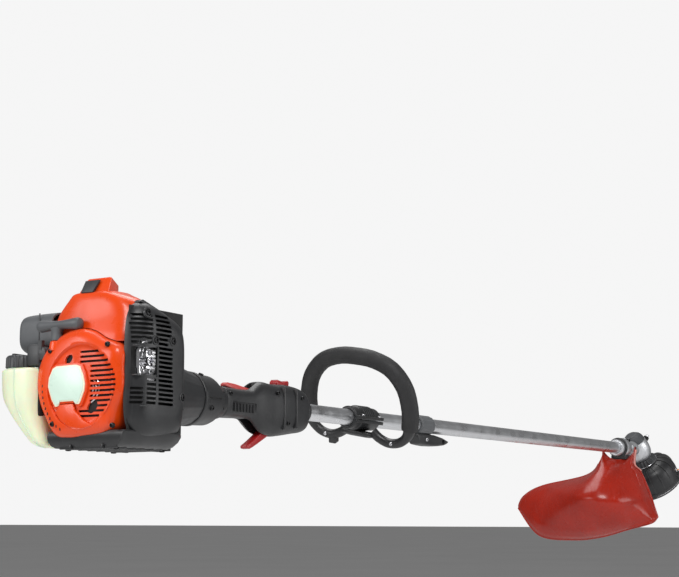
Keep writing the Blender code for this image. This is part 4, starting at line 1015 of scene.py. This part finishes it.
def rear_handle():
    """Both moulded halves of the rear handle, parted along the shaft."""
    rings = []
    for x, bottom, top, half_width in curve_through(GRIP_ROWS, 3):
        section = oval((0.0, (bottom + top) / 2), half_width, (top - bottom) / 2, 2.9, 56)
        rings.append([(x, y, z) for y, z in section])
    bore = ((0.24, 0, 0), (1, 0, 0))
    for side, sign in (("left", 1), ("right", -1)):
        half = loft(f"grip_{side}", rings)
        bm = bmesh.new()
        bm.from_mesh(half.data)
        geometry = bm.verts[:] + bm.edges[:] + bm.faces[:]
        cutting = bmesh.ops.bisect_plane(
            bm, geom=geometry, plane_co=(0, 0.00025 * sign, 0), plane_no=(0, -sign, 0), clear_outer=True
        )
        edges = [item for item in cutting["geom_cut"] if isinstance(item, bmesh.types.BMEdge)]
        bmesh.ops.edgeloop_fill(bm, edges=edges)
        bm.to_mesh(half.data)
        bm.free()
        reach = TUBE_RADIUS + 0.0004
        tube = turned("bore", [(0, 0.3), (reach, 0.3), (reach, 0), (0, 0)], *bore, steps=48)
        cutters = [tube]
        cutters.append(box("pocket", (0.3060, -0.0075, -0.0600), (0.3780, 0.0075, -0.0126)))
        cutters.append(box("pocket", (0.2640, -0.0052, 0.0127), (0.3360, 0.0052, 0.0500)))
        cutters.append(box("pocket", (0.3800, -0.0072, 0.0190), (0.4160, 0.0072, 0.0600)))
        outer = [sign * 0.0164, sign * 0.0260]
        panel_low = (0.2640, min(outer), -0.0135)
        panel_high = (0.3180, max(outer), 0.0015)
        cutters.append(box("panel", panel_low, panel_high, 0.0009))
        place(carved(half, *cutters), "black_plastic", replaced=(f"rear_handle_{side}",))
        ribs = []
        for x, z0, z1, lift in ((0.3790, -0.0300, 0.0290, 0.0216), (0.4080, -0.0270, 0.0270, 0.0222)):
            low, high = sorted((sign * (lift - 0.006), sign * (lift + 0.0008)))
            ribs.append(((x, low, z0), (x + 0.0040, high, z1)))
        place(boxes(f"grip_rib_{side}", ribs, 0.0012), "black_plastic")
        pads = []
        for step in range(7):
            low, high = sorted((sign * 0.0150, sign * 0.0182))
            pads.append(((0.2690 + 0.0070 * step, low, -0.0115), (0.2715 + 0.0070 * step, high, -0.0005)))
        place(boxes(f"grip_pad_{side}", pads, 0.0005), "rubber")
    spots = [((0.3660, -0.0208, 0.0190), (0, -1, 0.2)), ((0.3900, -0.0212, -0.0210), (0, -1, -0.2))]
    spots += [((0.4260, -0.0208, 0.0160), (0, -1, 0.1)), ((0.2600, -0.0182, 0.0110), (0, -1, 0.3))]
    screws("handle_screws", spots, 0.0028)
    front = [(0.0192, 0.0080), (0.0196, 0.0074), (0.0196, 0.0010)]
    front += [(0.0188, 0.0), (0.0124, 0.0), (0.0124, 0.0080)]
    place(turned("handle_front_band", front, (0.4440, 0, 0), (1, 0, 0), 64, 0.0004), "black_plastic")


def controls():
    """Trigger, lockout and stop switch, with finger grooves on the trigger and ridges on the switch."""
    trigger = [(0.0050, 0.0062), (0.0075, -0.0030), (0.0040, -0.0140), (-0.0100, -0.0205)]
    trigger += [(-0.0220, -0.0262), (-0.0330, -0.0312), (-0.0430, -0.0352), (-0.0485, -0.0345)]
    trigger += [(-0.0490, -0.0310), (-0.0400, -0.0262), (-0.0300, -0.0205), (-0.0120, -0.0095)]
    trigger += [(-0.0060, 0.0040)]
    for name, outline, wide, joint, look, body, replaced in (
        ("trigger_lever", trigger, 0.0120, "throttle_trigger", "red_plastic", "trigger", "throttle_trigger"),
        (
            "lockout_lever",
            [(0.0055, -0.0025), (0.0060, 0.0030), (0.0010, 0.0048), (-0.0180, 0.0072), (-0.0380, 0.0096),
             (-0.0560, 0.0106), (-0.0600, 0.0084), (-0.0600, 0.0052), (-0.0100, -0.0010), (-0.0030, -0.0030)],
            0.0092, "throttle_lockout", "pink_plastic", "lockout", "throttle_lockout",
        ),
        (
            "stop_rocker",
            [(-0.0150, 0.0085), (-0.0135, 0.0112), (-0.0110, 0.0118), (-0.0050, 0.0100), (0.0, 0.0096),
             (0.0060, 0.0106), (0.0110, 0.0128), (0.0140, 0.0120), (0.0150, 0.0100), (0.0140, 0.0040),
             (0.0030, -0.0030), (-0.0030, -0.0030), (-0.0140, 0.0030)],
            0.0130, "stop_switch", "red_plastic", "switch", "stop_switch",
        ),
    ):
        pin = Vector(JOINTS[joint]["pos_m"]) - ORIGIN
        piece = slab(name, outline, wide, upright(pin), 0.0011)
        place(piece, look, body, (replaced,))
    trigger_pin = Vector(JOINTS["throttle_trigger"]["pos_m"]) - ORIGIN
    grooves = bmesh.new()
    along = Matrix.Translation(trigger_pin) @ Matrix.Rotation(math.radians(-27), 4, "Y")
    for step in range(6):
        x = -0.0460 + 0.0052 * step
        add_box(grooves, (x, -0.0048, -0.0132), (x + 0.0020, 0.0048, -0.0115), along)
    switch_pin = Vector(JOINTS["stop_switch"]["pos_m"]) - ORIGIN
    place(rounded(shape("trigger_grooves", grooves), 0.0004, 2), "red_plastic", "trigger")
    ridges = bmesh.new()
    for step in range(4):
        x = switch_pin.x - 0.0125 + 0.0035 * step
        top = switch_pin.z + 0.0126 - 0.0005 * step
        add_box(ridges, (x, -0.0055, switch_pin.z + 0.0100), (x + 0.0014, 0.0055, top))
    place(rounded(shape("switch_ridges", ridges), 0.0003, 2), "red_plastic", "switch")


# ---------------------------------------------------------------- loop handle


def loop_handle():
    """The padded bow, its grip sleeve with end seams, and the moulded yoke."""
    right = [(-0.0220, -0.0182), (-0.0338, -0.0272), (-0.0492, -0.0324), (-0.0666, -0.0291)]
    right += [(-0.0800, -0.0168), (-0.0851, 0.0012), (-0.0856, 0.0277), (-0.0779, 0.0590)]
    right += [(-0.0574, 0.0845), (-0.0287, 0.0963)]
    bow = right + [(0.0, 0.0987)] + [(-y, z) for y, z in reversed(right)]
    path = [(0.0, y, z) for y, z in curve_through(bow, 9)]
    tapers = []
    for point in path:
        share = min(1.0, max(0.0, (point[2] + 0.026) / 0.036))
        share = share * share * (3 - 2 * share)
        tapers.append(0.56 + 0.36 * share)
    place(pipe("loop_bar", path, 0.0128, tapers, 9), "black_plastic", "loop", ("loop_handle",), LOOP_TURN)
    sleeve = [point for point in path if point[2] > -0.0060]
    tapers = []
    for index, point in enumerate(sleeve):
        end = min(index, len(sleeve) - 1 - index)
        tapers.append((0.955, 0.985, 0.998)[end] if end < 3 else 1.0 + 0.012 * math.sin(0.9 * index) ** 2)
    place(pipe("loop_grip", sleeve, 0.0129, tapers, 11), "rubber", "loop", turn=LOOP_TURN)
    yoke = []
    for x, half, top, low in (
        (-0.0120, 0.0160, -0.0190, -0.0240),
        (-0.0080, 0.0240, -0.0180, -0.0262),
        (0.0060, 0.0260, -0.0178, -0.0272),
        (0.0200, 0.0240, -0.0180, -0.0262),
        (0.0250, 0.0150, -0.0190, -0.0240),
    ):
        section = oval((0.0, (top + low) / 2), half, (top - low) / 2, 4.0, 40)
        yoke.append([(x, y, z) for y, z in section])
    place(loft("loop_yoke_block", yoke), "black_plastic", "loop", turn=CLAMP_TURN)
    for name, sign in (("upper", 1), ("lower", -1)):
        inner = TUBE_RADIUS + 0.0004
        rings = []
        for x, swell in ((-0.0350, -0.0012), (-0.0340, 0.0), (-0.0200, 0.0), (-0.0180, 0.0012),
                         (0.0180, 0.0012), (0.0200, 0.0), (0.0340, 0.0), (0.0350, -0.0012)):
            ring = [(x, 0.0225, sign * 0.0008), (x, 0.0225, sign * 0.0056)]
            for degrees in range(18, 163, 6):
                angle = math.radians(degrees)
                far = 0.0170 + swell
                ring.append((x, far * math.cos(angle), sign * far * math.sin(angle)))
            ring += [(x, -0.0225, sign * 0.0056), (x, -0.0225, sign * 0.0008)]
            for degrees in range(176, 3, -8):
                angle = math.radians(degrees)
                ring.append((x, inner * math.cos(angle), sign * max(0.0008, inner * math.sin(angle))))
            rings.append(ring)
        place(rounded(loft(f"clamp_{name}", rings), 0.0005, 2), "black_plastic", "loop",
              (f"handle_clamp_{name}",), CLAMP_TURN)
    spots = [((x, y, 0.0064), (0, 0, 1)) for x in (-0.0230, 0.0230) for y in (-0.0198, 0.0198)]
    screws("handle_clamp_bolts", spots, 0.0027, "steel", "loop", CLAMP_TURN)
    ribs = bmesh.new()
    for step in range(6):
        x = -0.0145 + 0.0058 * step
        rings = []
        for wide in (0.0, 0.0018):
            ring = []
            for degrees in range(20, 161, 7):
                angle = math.radians(degrees)
                ring.append((x + wide, 0.0190 * math.cos(angle), 0.0190 * math.sin(angle)))
            for degrees in range(160, 19, -7):
                angle = math.radians(degrees)
                ring.append((x + wide, 0.0176 * math.cos(angle), 0.0176 * math.sin(angle)))
            rings.append(ring)
        skin(ribs, rings)
    place(shape("clamp_ribs", ribs), "dark_plastic", "loop", turn=CLAMP_TURN)
    end_screws = []
    for side in (-1, 1):
        end_screws.append(((-0.0078, side * 0.0560, -0.0300), (-1, 0, 0)))
    screws("loop_end_screws", end_screws, 0.0026, "steel", "loop", LOOP_TURN)
    tab = [((-0.0060, 0.0400, -0.0455), (0.0060, 0.0520, -0.0350))]
    place(boxes("loop_tab", tab, 0.0014), "black_plastic", "loop", turn=LOOP_TURN)


def shaft():
    """The bright tube, its rear ferrule and the harness clamp."""
    length = TUBE_END - TUBE_START
    wall = [(TUBE_RADIUS, length), (TUBE_RADIUS, 0.0), (0.0104, 0.0), (0.0104, length)]
    place(turned("bright_tube", wall, (TUBE_START, 0, 0), (1, 0, 0), 72), "tube_aluminium",
          replaced=("shaft_tube",))
    ribs = lobed(0.035, 14, 2, 0.013)
    collar = [(0.0146, 0.0420), (0.0156, 0.0410), (0.0156, 0.0010)]
    collar += [(0.0146, 0.0), (0.0124, 0.0), (0.0124, 0.0420)]
    place(turned("hanger_collar", collar, (0.7900, 0, 0), (1, 0, 0), 112, 0.0, ribs), "grey_plastic",
          replaced=("hanger_clamp",))
    fin = [(-0.0120, -0.0145), (0.0200, -0.0142), (0.0460, -0.0145), (0.0740, -0.0180), (0.0980, -0.0235)]
    fin += [(0.0900, -0.0272), (0.0800, -0.0300), (0.0550, -0.0324), (0.0300, -0.0330), (0.0100, -0.0322)]
    fin += [(-0.0060, -0.0310), (-0.0110, -0.0230)]
    bore = [(0, 0.03), (0.0042, 0.03), (0.0042, -0.03), (0, -0.03)]
    eye = turned("eye", bore, (0.8700, 0, -0.0245), (0, 1, 0), 32)
    hanger = slab("hanger_fin", fin, 0.0200, upright((0.7950, 0, 0)), 0.0030)
    place(carved(hanger, eye), "black_plastic")
    fixings = [((0.8120, 0.0102 * side, -0.0230), (0, side, 0)) for side in (-1, 1)]
    screws("hanger_screws", fixings,
           0.0034, "steel")


# ------------------------------------------------------------ gearbox and head


def gearbox():
    """The cast gearbox, its clamped sleeve and the ribbed dust cup under it."""
    sleeve = [(0.0150, 0.0980), (0.0166, 0.0970), (0.0172, 0.0950), (0.0172, 0.0860), (0.0164, 0.0840)]
    sleeve += [(0.0164, 0.0120), (0.0170, 0.0100), (0.0172, 0.0020)]
    sleeve += [(0.0162, 0.0), (0.0124, 0.0), (0.0124, 0.0980)]
    place(turned("bright_sleeve", sleeve, (1.6900, 0, 0), (1, 0, 0), 72), "cast_aluminium",
          replaced=("gearbox_sleeve",))
    ears = [((1.7340, -0.0060, 0.0130), (1.7640, 0.0060, 0.0225))]
    ears += [((1.7400, -0.0210, -0.0060), (1.7640, -0.0130, 0.0060))]
    place(boxes("sleeve_ears", ears, 0.0018), "cast_aluminium")
    spots = [((1.7420, -0.0063, 0.0180), (0, -1, 0)), ((1.7565, -0.0063, 0.0180), (0, -1, 0))]
    spots += [((1.7520, -0.0212, 0.0), (0, -1, 0))]
    screws("sleeve_screws", spots, 0.0036)
    cap = [(0.0, 0.0404), (0.0070, 0.0402), (0.0125, 0.0390), (0.0170, 0.0368), (0.0203, 0.0338)]
    cap += [(0.0226, 0.0298), (0.0240, 0.0250), (0.0244, 0.0215), (0.0200, 0.0215), (0.0, 0.0300)]
    place(turned("gear_casing_cap", cap, steps=96, bevel=0.0006), "cast_grey", turn=HEAD_TURN)
    housing = [(0.0, 0.0352), (0.0070, 0.0350), (0.0125, 0.0338), (0.0160, 0.0310), (0.0190, 0.0280)]
    housing += [(0.0215, 0.0250), (0.0236, 0.0212), (0.0256, 0.0170), (0.0268, 0.0100), (0.0270, 0.0020)]
    housing += [(0.0262, -0.0080), (0.0250, -0.0125), (0.0240, -0.0150), (0.0215, -0.0190), (0.0185, -0.0190)]
    housing += [(0.0185, -0.0150), (0.0236, -0.0070), (0.0236, 0.0100), (0.0200, 0.0200), (0.0, 0.0345)]
    lumps = lobed(0.05, 2, 6, 0.0239)
    place(turned("gear_casing", housing, steps=96, wave=lumps), "cast_aluminium",
          replaced=("gearbox_housing",), turn=HEAD_TURN)
    neck = [(0.0118, 0.0300), (0.0124, 0.0290), (0.0124, 0.0010)]
    neck += [(0.0112, 0.0), (0.0094, 0.0), (0.0094, 0.0300)]
    place(turned("gear_casing_neck", neck, (HEAD_CENTRE.x - 0.0520, 0, 0), (1, 0, 0), 64), "cast_aluminium")
    ring = [(0.0120, 0.0405), (0.0126, 0.0400), (0.0126, 0.0370), (0.0090, 0.0370)]
    place(turned("gear_casing_rim", ring, steps=64), "cast_grey", turn=HEAD_TURN)
    knob_axis = Vector((0.70, -0.55, 0.30))
    base = Vector((0.0150, -0.0130, 0.0060))
    knob = [(0.0, 0.0160), (0.0052, 0.0160), (0.0062, 0.0150), (0.0062, 0.0), (0.0, 0.0)]
    place(turned("grease_plug", knob, base, knob_axis, 48, 0.0003, six_sided), "screw_black", turn=HEAD_TURN)
    tip = [(0.0, 0.0205), (0.0030, 0.0205), (0.0035, 0.0198), (0.0035, 0.0160), (0.0, 0.0160)]
    place(turned("grease_plug_tip", tip, base, knob_axis, 32), "steel", turn=HEAD_TURN)
    flutes = fluted(0.045, 20, 0.0195, 0.0272)
    cup = [(0.0182, -0.0194), (0.0196, -0.0198), (0.0225, -0.0235), (0.0250, -0.0268), (0.0264, -0.0300)]
    cup += [(0.0276, -0.0312), (0.0276, -0.0330), (0.0060, -0.0330), (0.0060, -0.0215), (0.0176, -0.0210)]
    dust_cup = turned("dust_cup", cup, steps=160, wave=flutes)
    place(dust_cup, "dark_plastic", "head", ("drive_flange",), HEAD_TURN)
    bead = [(0.0284, -0.0322), (0.0288, -0.0327), (0.0284, -0.0332), (0.0276, -0.0332), (0.0276, -0.0322)]
    place(turned("dust_cup_bead", bead, steps=96), "steel", "head", turn=HEAD_TURN)


def cutting_head():
    """The domed line head: ribbed cover, rim band, eyelets, lid catches and tap button."""
    dome = [(0.0062, -0.0336), (0.0200, -0.0336), (0.0300, -0.0345), (0.0385, -0.0372), (0.0450, -0.0412)]
    dome += [(0.0500, -0.0462), (0.0535, -0.0525), (0.0556, -0.0600), (0.0566, -0.0680), (0.0570, -0.0760)]
    dome += [(0.0572, -0.0850), (0.0572, -0.0880), (0.0578, -0.0884), (0.0578, -0.0938), (0.0545, -0.0940)]
    dome += [(0.0545, -0.0660), (0.0525, -0.0560), (0.0465, -0.0450), (0.0290, -0.0368), (0.0062, -0.0364)]
    shell = turned("head_dome", dome, steps=144)
    slots = [box("slot", (-0.0034, -0.0700, -0.0805), (0.0034, 0.0700, -0.0660), 0.0010)]
    place(carved(shell, *slots), "black_plastic", "head", ("head_housing",), HEAD_TURN)
    ribs = bmesh.new()
    count = 16
    for step in range(count):
        angle = 2 * math.pi * (step + 0.5) / count
        spin = Matrix.Rotation(angle, 4, "Z")
        rings = []
        for r, h in curve_through(dome[1:11], 2):
            lift = 0.0016 * min(1.0, (r - 0.0195) / 0.006) * min(1.0, (h + 0.0765) / 0.010)
            wide = 0.0012
            out = Vector((r + 0.7 * max(0.0, lift), 0, h + 0.7 * max(0.0, lift)))
            inn = Vector((r - 0.0008, 0, h - 0.0008))
            quad = [inn + Vector((0, -wide, 0)), out + Vector((0, -wide * 0.7, 0)),
                    out + Vector((0, wide * 0.7, 0)), inn + Vector((0, wide, 0))]
            rings.append([spin @ point for point in quad])
        skin(ribs, rings)
    place(shape("head_ribs", ribs), "black_plastic", "head", turn=HEAD_TURN)
    grips = fluted(0.016, 36, 0.0560)
    lid = [(0.0578, -0.0944), (0.0584, -0.0950), (0.0580, -0.0975), (0.0560, -0.0990), (0.0480, -0.1000)]
    lid += [(0.0300, -0.1004), (0.0225, -0.1000), (0.0215, -0.0985), (0.0215, -0.0960), (0.0500, -0.0960)]
    lid += [(0.0500, -0.0944)]
    place(turned("head_lid", lid, steps=216, wave=grips), "black_plastic", "head", ("head_cover",), HEAD_TURN)
    bead = [(0.0580, -0.0936), (0.0586, -0.0940), (0.0586, -0.0944), (0.0580, -0.0948), (0.0570, -0.0942)]
    place(turned("head_rim_bead", bead, steps=144), "steel", "head", turn=HEAD_TURN)
    catches = bmesh.new()
    for side in (-1, 1):
        y = side * 0.0560
        add_box(catches, (-0.0110, y - 0.0030, -0.0965), (0.0110, y + 0.0030, -0.0830))
        turn = Matrix.Rotation(math.pi / 2, 4, "Z")
        y = side * 0.0558
        add_box(catches, (-0.0090, y - 0.0028, -0.0960), (0.0090, y + 0.0028, -0.0860), turn)
    place(rounded(shape("head_catches", catches), 0.0012), "black_plastic", "head", turn=HEAD_TURN)
    ring = [(0.0030, 0.0022), (0.0042, 0.0020), (0.0050, 0.0006), (0.0044, -0.0050), (0.0030, -0.0050)]
    for side, name in ((1, "left"), (-1, "right")):
        eye = turned(f"line_eyelet_{name}", ring, (0, side * 0.0572, -0.0735), (0, side, 0), 40)
        place(eye, "steel", "head", turn=HEAD_TURN)
    knurl = lobed(-0.05, 12, 2, 0.019)
    button = [(0.0, -0.0876), (0.0205, -0.0876), (0.0205, -0.1030), (0.0196, -0.1060), (0.0165, -0.1090)]
    button += [(0.0110, -0.1108), (0.0, -0.1112)]
    tap_knob = turned("tap_knob", button, steps=144, wave=knurl)
    place(tap_knob, "dark_plastic", "tap", ("tap_button",), HEAD_TURN)
    wound = bmesh.new()
    thick = 0.0012
    for layer in range(10):
        height = -0.0590 - 0.0026 * layer
        rings = []
        for step in range(49):
            angle = 2 * math.pi * step / 48
            centre = Vector((0.0430 * math.cos(angle), 0.0430 * math.sin(angle), height - 0.0026 * step / 48))
            out = Vector((math.cos(angle), math.sin(angle), 0))
            section = []
            for k in range(8):
                turn = 2 * math.pi * k / 8
                section.append(centre + thick * math.cos(turn) * out + Vector((0, 0, thick * math.sin(turn))))
            rings.append(section)
        skin(wound, rings)
    barrel = [(0.0424, -0.0578), (0.0424, -0.0845), (0.0185, -0.0845), (0.0185, -0.0578)]
    core = turned("line_core", barrel, steps=64)
    wound_line = shape("wound_line", wound)
    place(core, "line", "tap", turn=HEAD_TURN)
    for side, name in ((1, "left"), (-1, "right")):
        points = ((0.0420, -0.0760), (0.0500, -0.0752), (0.0570, -0.0745), (0.0690, -0.0748))
        route = [(0.0, side * y, z) for y, z in points]
        tail = pipe(f"line_tail_{name}", curve_through(route, 5), 0.0012, sides=4)
        place(tail, "line", "head", turn=HEAD_TURN)
    place(wound_line, "line", "tap", ("cutting_line",), HEAD_TURN)


# -------------------------------------------------------------------- guard


GUARD_ROWS = [
    [(1.742, -0.0245, 0.002), (1.735, -0.0235, -0.010), (1.720, -0.0130, -0.0225), (1.700, 0.0000, -0.0260),
     (1.690, 0.0130, -0.0225), (1.684, 0.0235, -0.010), (1.682, 0.0245, 0.002)],
    [(1.728, -0.0245, -0.034), (1.705, -0.0240, -0.037), (1.682, -0.0140, -0.042), (1.662, 0.0020, -0.044),
     (1.655, 0.0150, -0.042), (1.660, 0.0230, -0.036), (1.668, 0.0270, -0.029)],
    [(1.735, -0.038, -0.052), (1.700, -0.036, -0.062), (1.655, -0.022, -0.070), (1.625, 0.004, -0.072),
     (1.625, 0.030, -0.069), (1.645, 0.047, -0.064), (1.668, 0.058, -0.059)],
    [(1.742, -0.054, -0.096), (1.685, -0.054, -0.106), (1.628, -0.032, -0.114), (1.600, 0.010, -0.116),
     (1.602, 0.062, -0.111), (1.638, 0.118, -0.099), (1.690, 0.170, -0.080)],
    [(1.732, -0.067, -0.128), (1.690, -0.066, -0.142), (1.650, -0.028, -0.153), (1.628, 0.022, -0.162),
     (1.625, 0.080, -0.162), (1.645, 0.150, -0.150), (1.690, 0.215, -0.102)],
    [(1.716, -0.078, -0.145), (1.700, -0.070, -0.160), (1.682, -0.022, -0.175), (1.670, 0.030, -0.190),
     (1.662, 0.092, -0.196), (1.666, 0.172, -0.186), (1.690, 0.230, -0.128)],
]
GUARD_FINE = 10


def guard_surface():
    """The guard's outer face as a fine grid, with its pressed panels and creases."""
    wide = [curve_through(row, GUARD_FINE) for row in GUARD_ROWS]
    columns = [curve_through([row[k] for row in wide], GUARD_FINE) for k in range(len(wide[0]))]
    grid = [[Vector(column[j]) for column in columns] for j in range(len(columns[0]))]
    rows, count = len(grid), len(grid[0])

    def bump(value, start, end, edge):
        rise = min(1.0, max(0.0, (value - start) / edge))
        fall = min(1.0, max(0.0, (end - value) / edge))
        both = min(rise, fall)
        return both * both * (3 - 2 * both)

    shaped = []
    for j in range(rows):
        v = (len(GUARD_ROWS) - 1) * j / (rows - 1)
        line = []
        for i in range(count):
            u = (len(GUARD_ROWS[0]) - 1) * i / (count - 1)
            across = grid[j][min(i + 1, count - 1)] - grid[j][max(i - 1, 0)]
            down = grid[min(j + 1, rows - 1)][i] - grid[max(j - 1, 0)][i]
            normal = down.cross(across).normalized()
            lift = 0.0022 * bump(u, 0.45, 1.9, 0.15) * bump(v, 3.1, 4.7, 0.12)
            lift += 0.0020 * bump(u, 3.0, 5.6, 0.15) * bump(v, 2.9, 4.3, 0.15)
            lift += 0.0016 * bump(u, 2.32, 2.52, 0.10) * bump(v, 2.2, 3.6, 0.3)
            lift += 0.0018 * bump(u, 0.0, 0.30, 0.14) * bump(v, 0.4, 4.9, 0.2)
            lift += 0.0022 * bump(v, 4.72, 5.2, 0.12)
            line.append(grid[j][i] + lift * normal)
        shaped.append(line)
    return shaped


def guard():
    grid = guard_surface()
    skirt = loft("guard_skirt", grid, closed=False)
    step = skirt.modifiers.new("wall", "SOLIDIFY")
    step.thickness = 0.0026
    step.offset = 0.0
    place(bake(skirt), "guard_plastic", replaced=("guard",))
    hem = [row[0] for row in grid[6:]] + list(grid[-1][1:]) + [row[-1] for row in reversed(grid[12:-1])]
    place(pipe("guard_hem", hem, 0.0022, sides=5), "guard_plastic")
    # The flange strip along the guard's front edge wears the painted highlight finish.
    edge = [row[0] for row in grid[2 : 2 * GUARD_FINE]]
    strip = []
    for point in edge:
        strip.append(
            [
                point + Vector(offset)
                for offset in (
                    (-0.001, -0.0035, 0),
                    (0.008, -0.0030, 0),
                    (0.008, 0.0010, 0),
                    (-0.001, 0.0010, 0),
                )
            ]
        )
    place(rounded(loft("guard_flange", strip), 0.0008), "guard_painted_highlight")
    rib = []
    for row in grid[3 : 2 * GUARD_FINE + 6]:
        centre = row[GUARD_FINE // 2 + 3]
        rib.append(centre + Vector((0, -0.0012, 0)))
    tapers = [0.4 + 0.6 * math.sin(math.pi * k / (len(rib) - 1)) for k in range(len(rib))]
    place(pipe("guard_ridge", rib, 0.0034, tapers, 5), "guard_plastic")
    band = [(0.0206, 0.0240), (0.0212, 0.0230), (0.0212, 0.0010)]
    band += [(0.0206, 0.0), (0.0173, 0.0), (0.0173, 0.0240)]
    place(turned("guard_band", band, (1.7060, 0, 0), (1, 0, 0), 72), "cast_aluminium")
    seam = [(0.0214, 0.0016), (0.0214, 0.0), (0.0170, 0.0), (0.0170, 0.0016)]
    place(turned("guard_band_seam", seam, (1.7040, 0, 0), (1, 0, 0), 72), "black_plastic")
    saddle = boxes("guard_saddle", [((1.7050, -0.0170, -0.0250), (1.7350, 0.0170, -0.0150))], 0.0025)
    place(saddle, "black_plastic")
    fixings = [((1.7180, y, -0.0252), (0, 0, -1)) for y in (-0.0090, 0.0090)]
    screws("guard_screws", fixings, 0.0030)


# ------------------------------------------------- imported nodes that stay


def dress_nodes():
    """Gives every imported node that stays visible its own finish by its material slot."""
    slots = {part["node"]: part["material_slot"] for part in frame["record"]["subparts"]}
    for name, obj in frame["nodes"].items():
        if obj.hide_render:
            continue
        made = FINISHES[slots[name]][0]
        obj.data.materials.clear()
        obj.data.materials.append(made)


# ------------------------------------------------------------------- studio


EYE = Vector((-1.240, -1.099, -0.146))
RIGHT = Vector((0.5215, -0.8532, 0.0)).normalized()
FORWARD = Vector((0.8426, 0.515, 0.1575)).normalized()
FOCAL_PIXELS = 1430.0
IMAGE_WIDTH = 679.0
SENSOR = 36.0
FLOOR_Z = -0.62


def area_light(name, place_at, aim_at, size, energy, colour=(1, 1, 1)):
    data = bpy.data.lights.new(name, "AREA")
    data.shape = "RECTANGLE"
    data.size = size
    data.size_y = size * 0.7
    data.energy = energy
    data.color = colour
    light = bpy.data.objects.new(name, data)
    light.location = place_at
    light.rotation_euler = (Vector(aim_at) - Vector(place_at)).to_track_quat("-Z", "Y").to_euler()
    bpy.context.scene.collection.objects.link(light)


def studio():
    right = RIGHT
    forward = (FORWARD - right * FORWARD.dot(right)).normalized()
    up = right.cross(forward)
    data = bpy.data.cameras.new("camera")
    data.sensor_width = SENSOR
    data.lens = FOCAL_PIXELS * SENSOR / IMAGE_WIDTH
    data.clip_start = 0.01
    data.clip_end = 100.0
    camera = bpy.data.objects.new("camera", data)
    turn = Matrix((right, up, -forward)).transposed().to_4x4()
    camera.matrix_world = Matrix.Translation(EYE + ORIGIN) @ turn
    bpy.context.scene.collection.objects.link(camera)
    bpy.context.scene.camera = camera
    bm = bmesh.new()
    bmesh.ops.create_grid(bm, x_segments=2, y_segments=2, size=60.0)
    floor = shape("floor", bm)
    floor.location = (0, 0, FLOOR_Z)
    made = bpy.data.materials.new("floor_paper")
    made.use_nodes = True
    tree = made.node_tree
    shader = tree.nodes["Principled BSDF"]
    tone = mixed(tree, spread(tree, noise(tree, 0.8, 3.0), 0, 1), (0.84, 0.84, 0.84), (0.88, 0.88, 0.88))
    tree.links.new(tone, shader.inputs["Base Color"])
    shader.inputs["Roughness"].default_value = 0.8
    floor.data.materials.append(made)
    world = bpy.data.worlds.new("studio")
    world.use_nodes = True
    tree = world.node_tree
    tree.nodes["Background"].inputs["Color"].default_value = (1, 1, 1, 1)
    rays = tree.nodes.new("ShaderNodeLightPath")
    tree.links.new(
        spread(tree, rays.outputs["Is Camera Ray"], 0.20, 0.92, 0.0, 1.0),
        tree.nodes["Background"].inputs["Strength"],
    )
    bpy.context.scene.world = world
    bpy.context.scene.view_settings.view_transform = "Standard"
    area_light("key", (-2.2, -1.5, 2.0), (-0.5, 0, 0), 1.4, 56)
    area_light("fill", (0.9, -2.8, 0.5), (0.3, 0, 0), 1.8, 26)
    area_light("top", (0.3, 0.6, 2.3), (0.2, 0, 0), 2.2, 40)
    area_light("left", (-2.4, 0.9, 0.6), (-0.9, 0.05, 0), 1.0, 14)


def build():
    make_finishes()
    starter()
    hood()
    muffler_cover()
    muffler()
    filter_cover()
    fuel_tank()
    engine_base()
    clutch_parts()
    rear_handle()
    controls()
    loop_handle()
    shaft()
    gearbox()
    cutting_head()
    guard()
    dress_nodes()
    studio()


build()
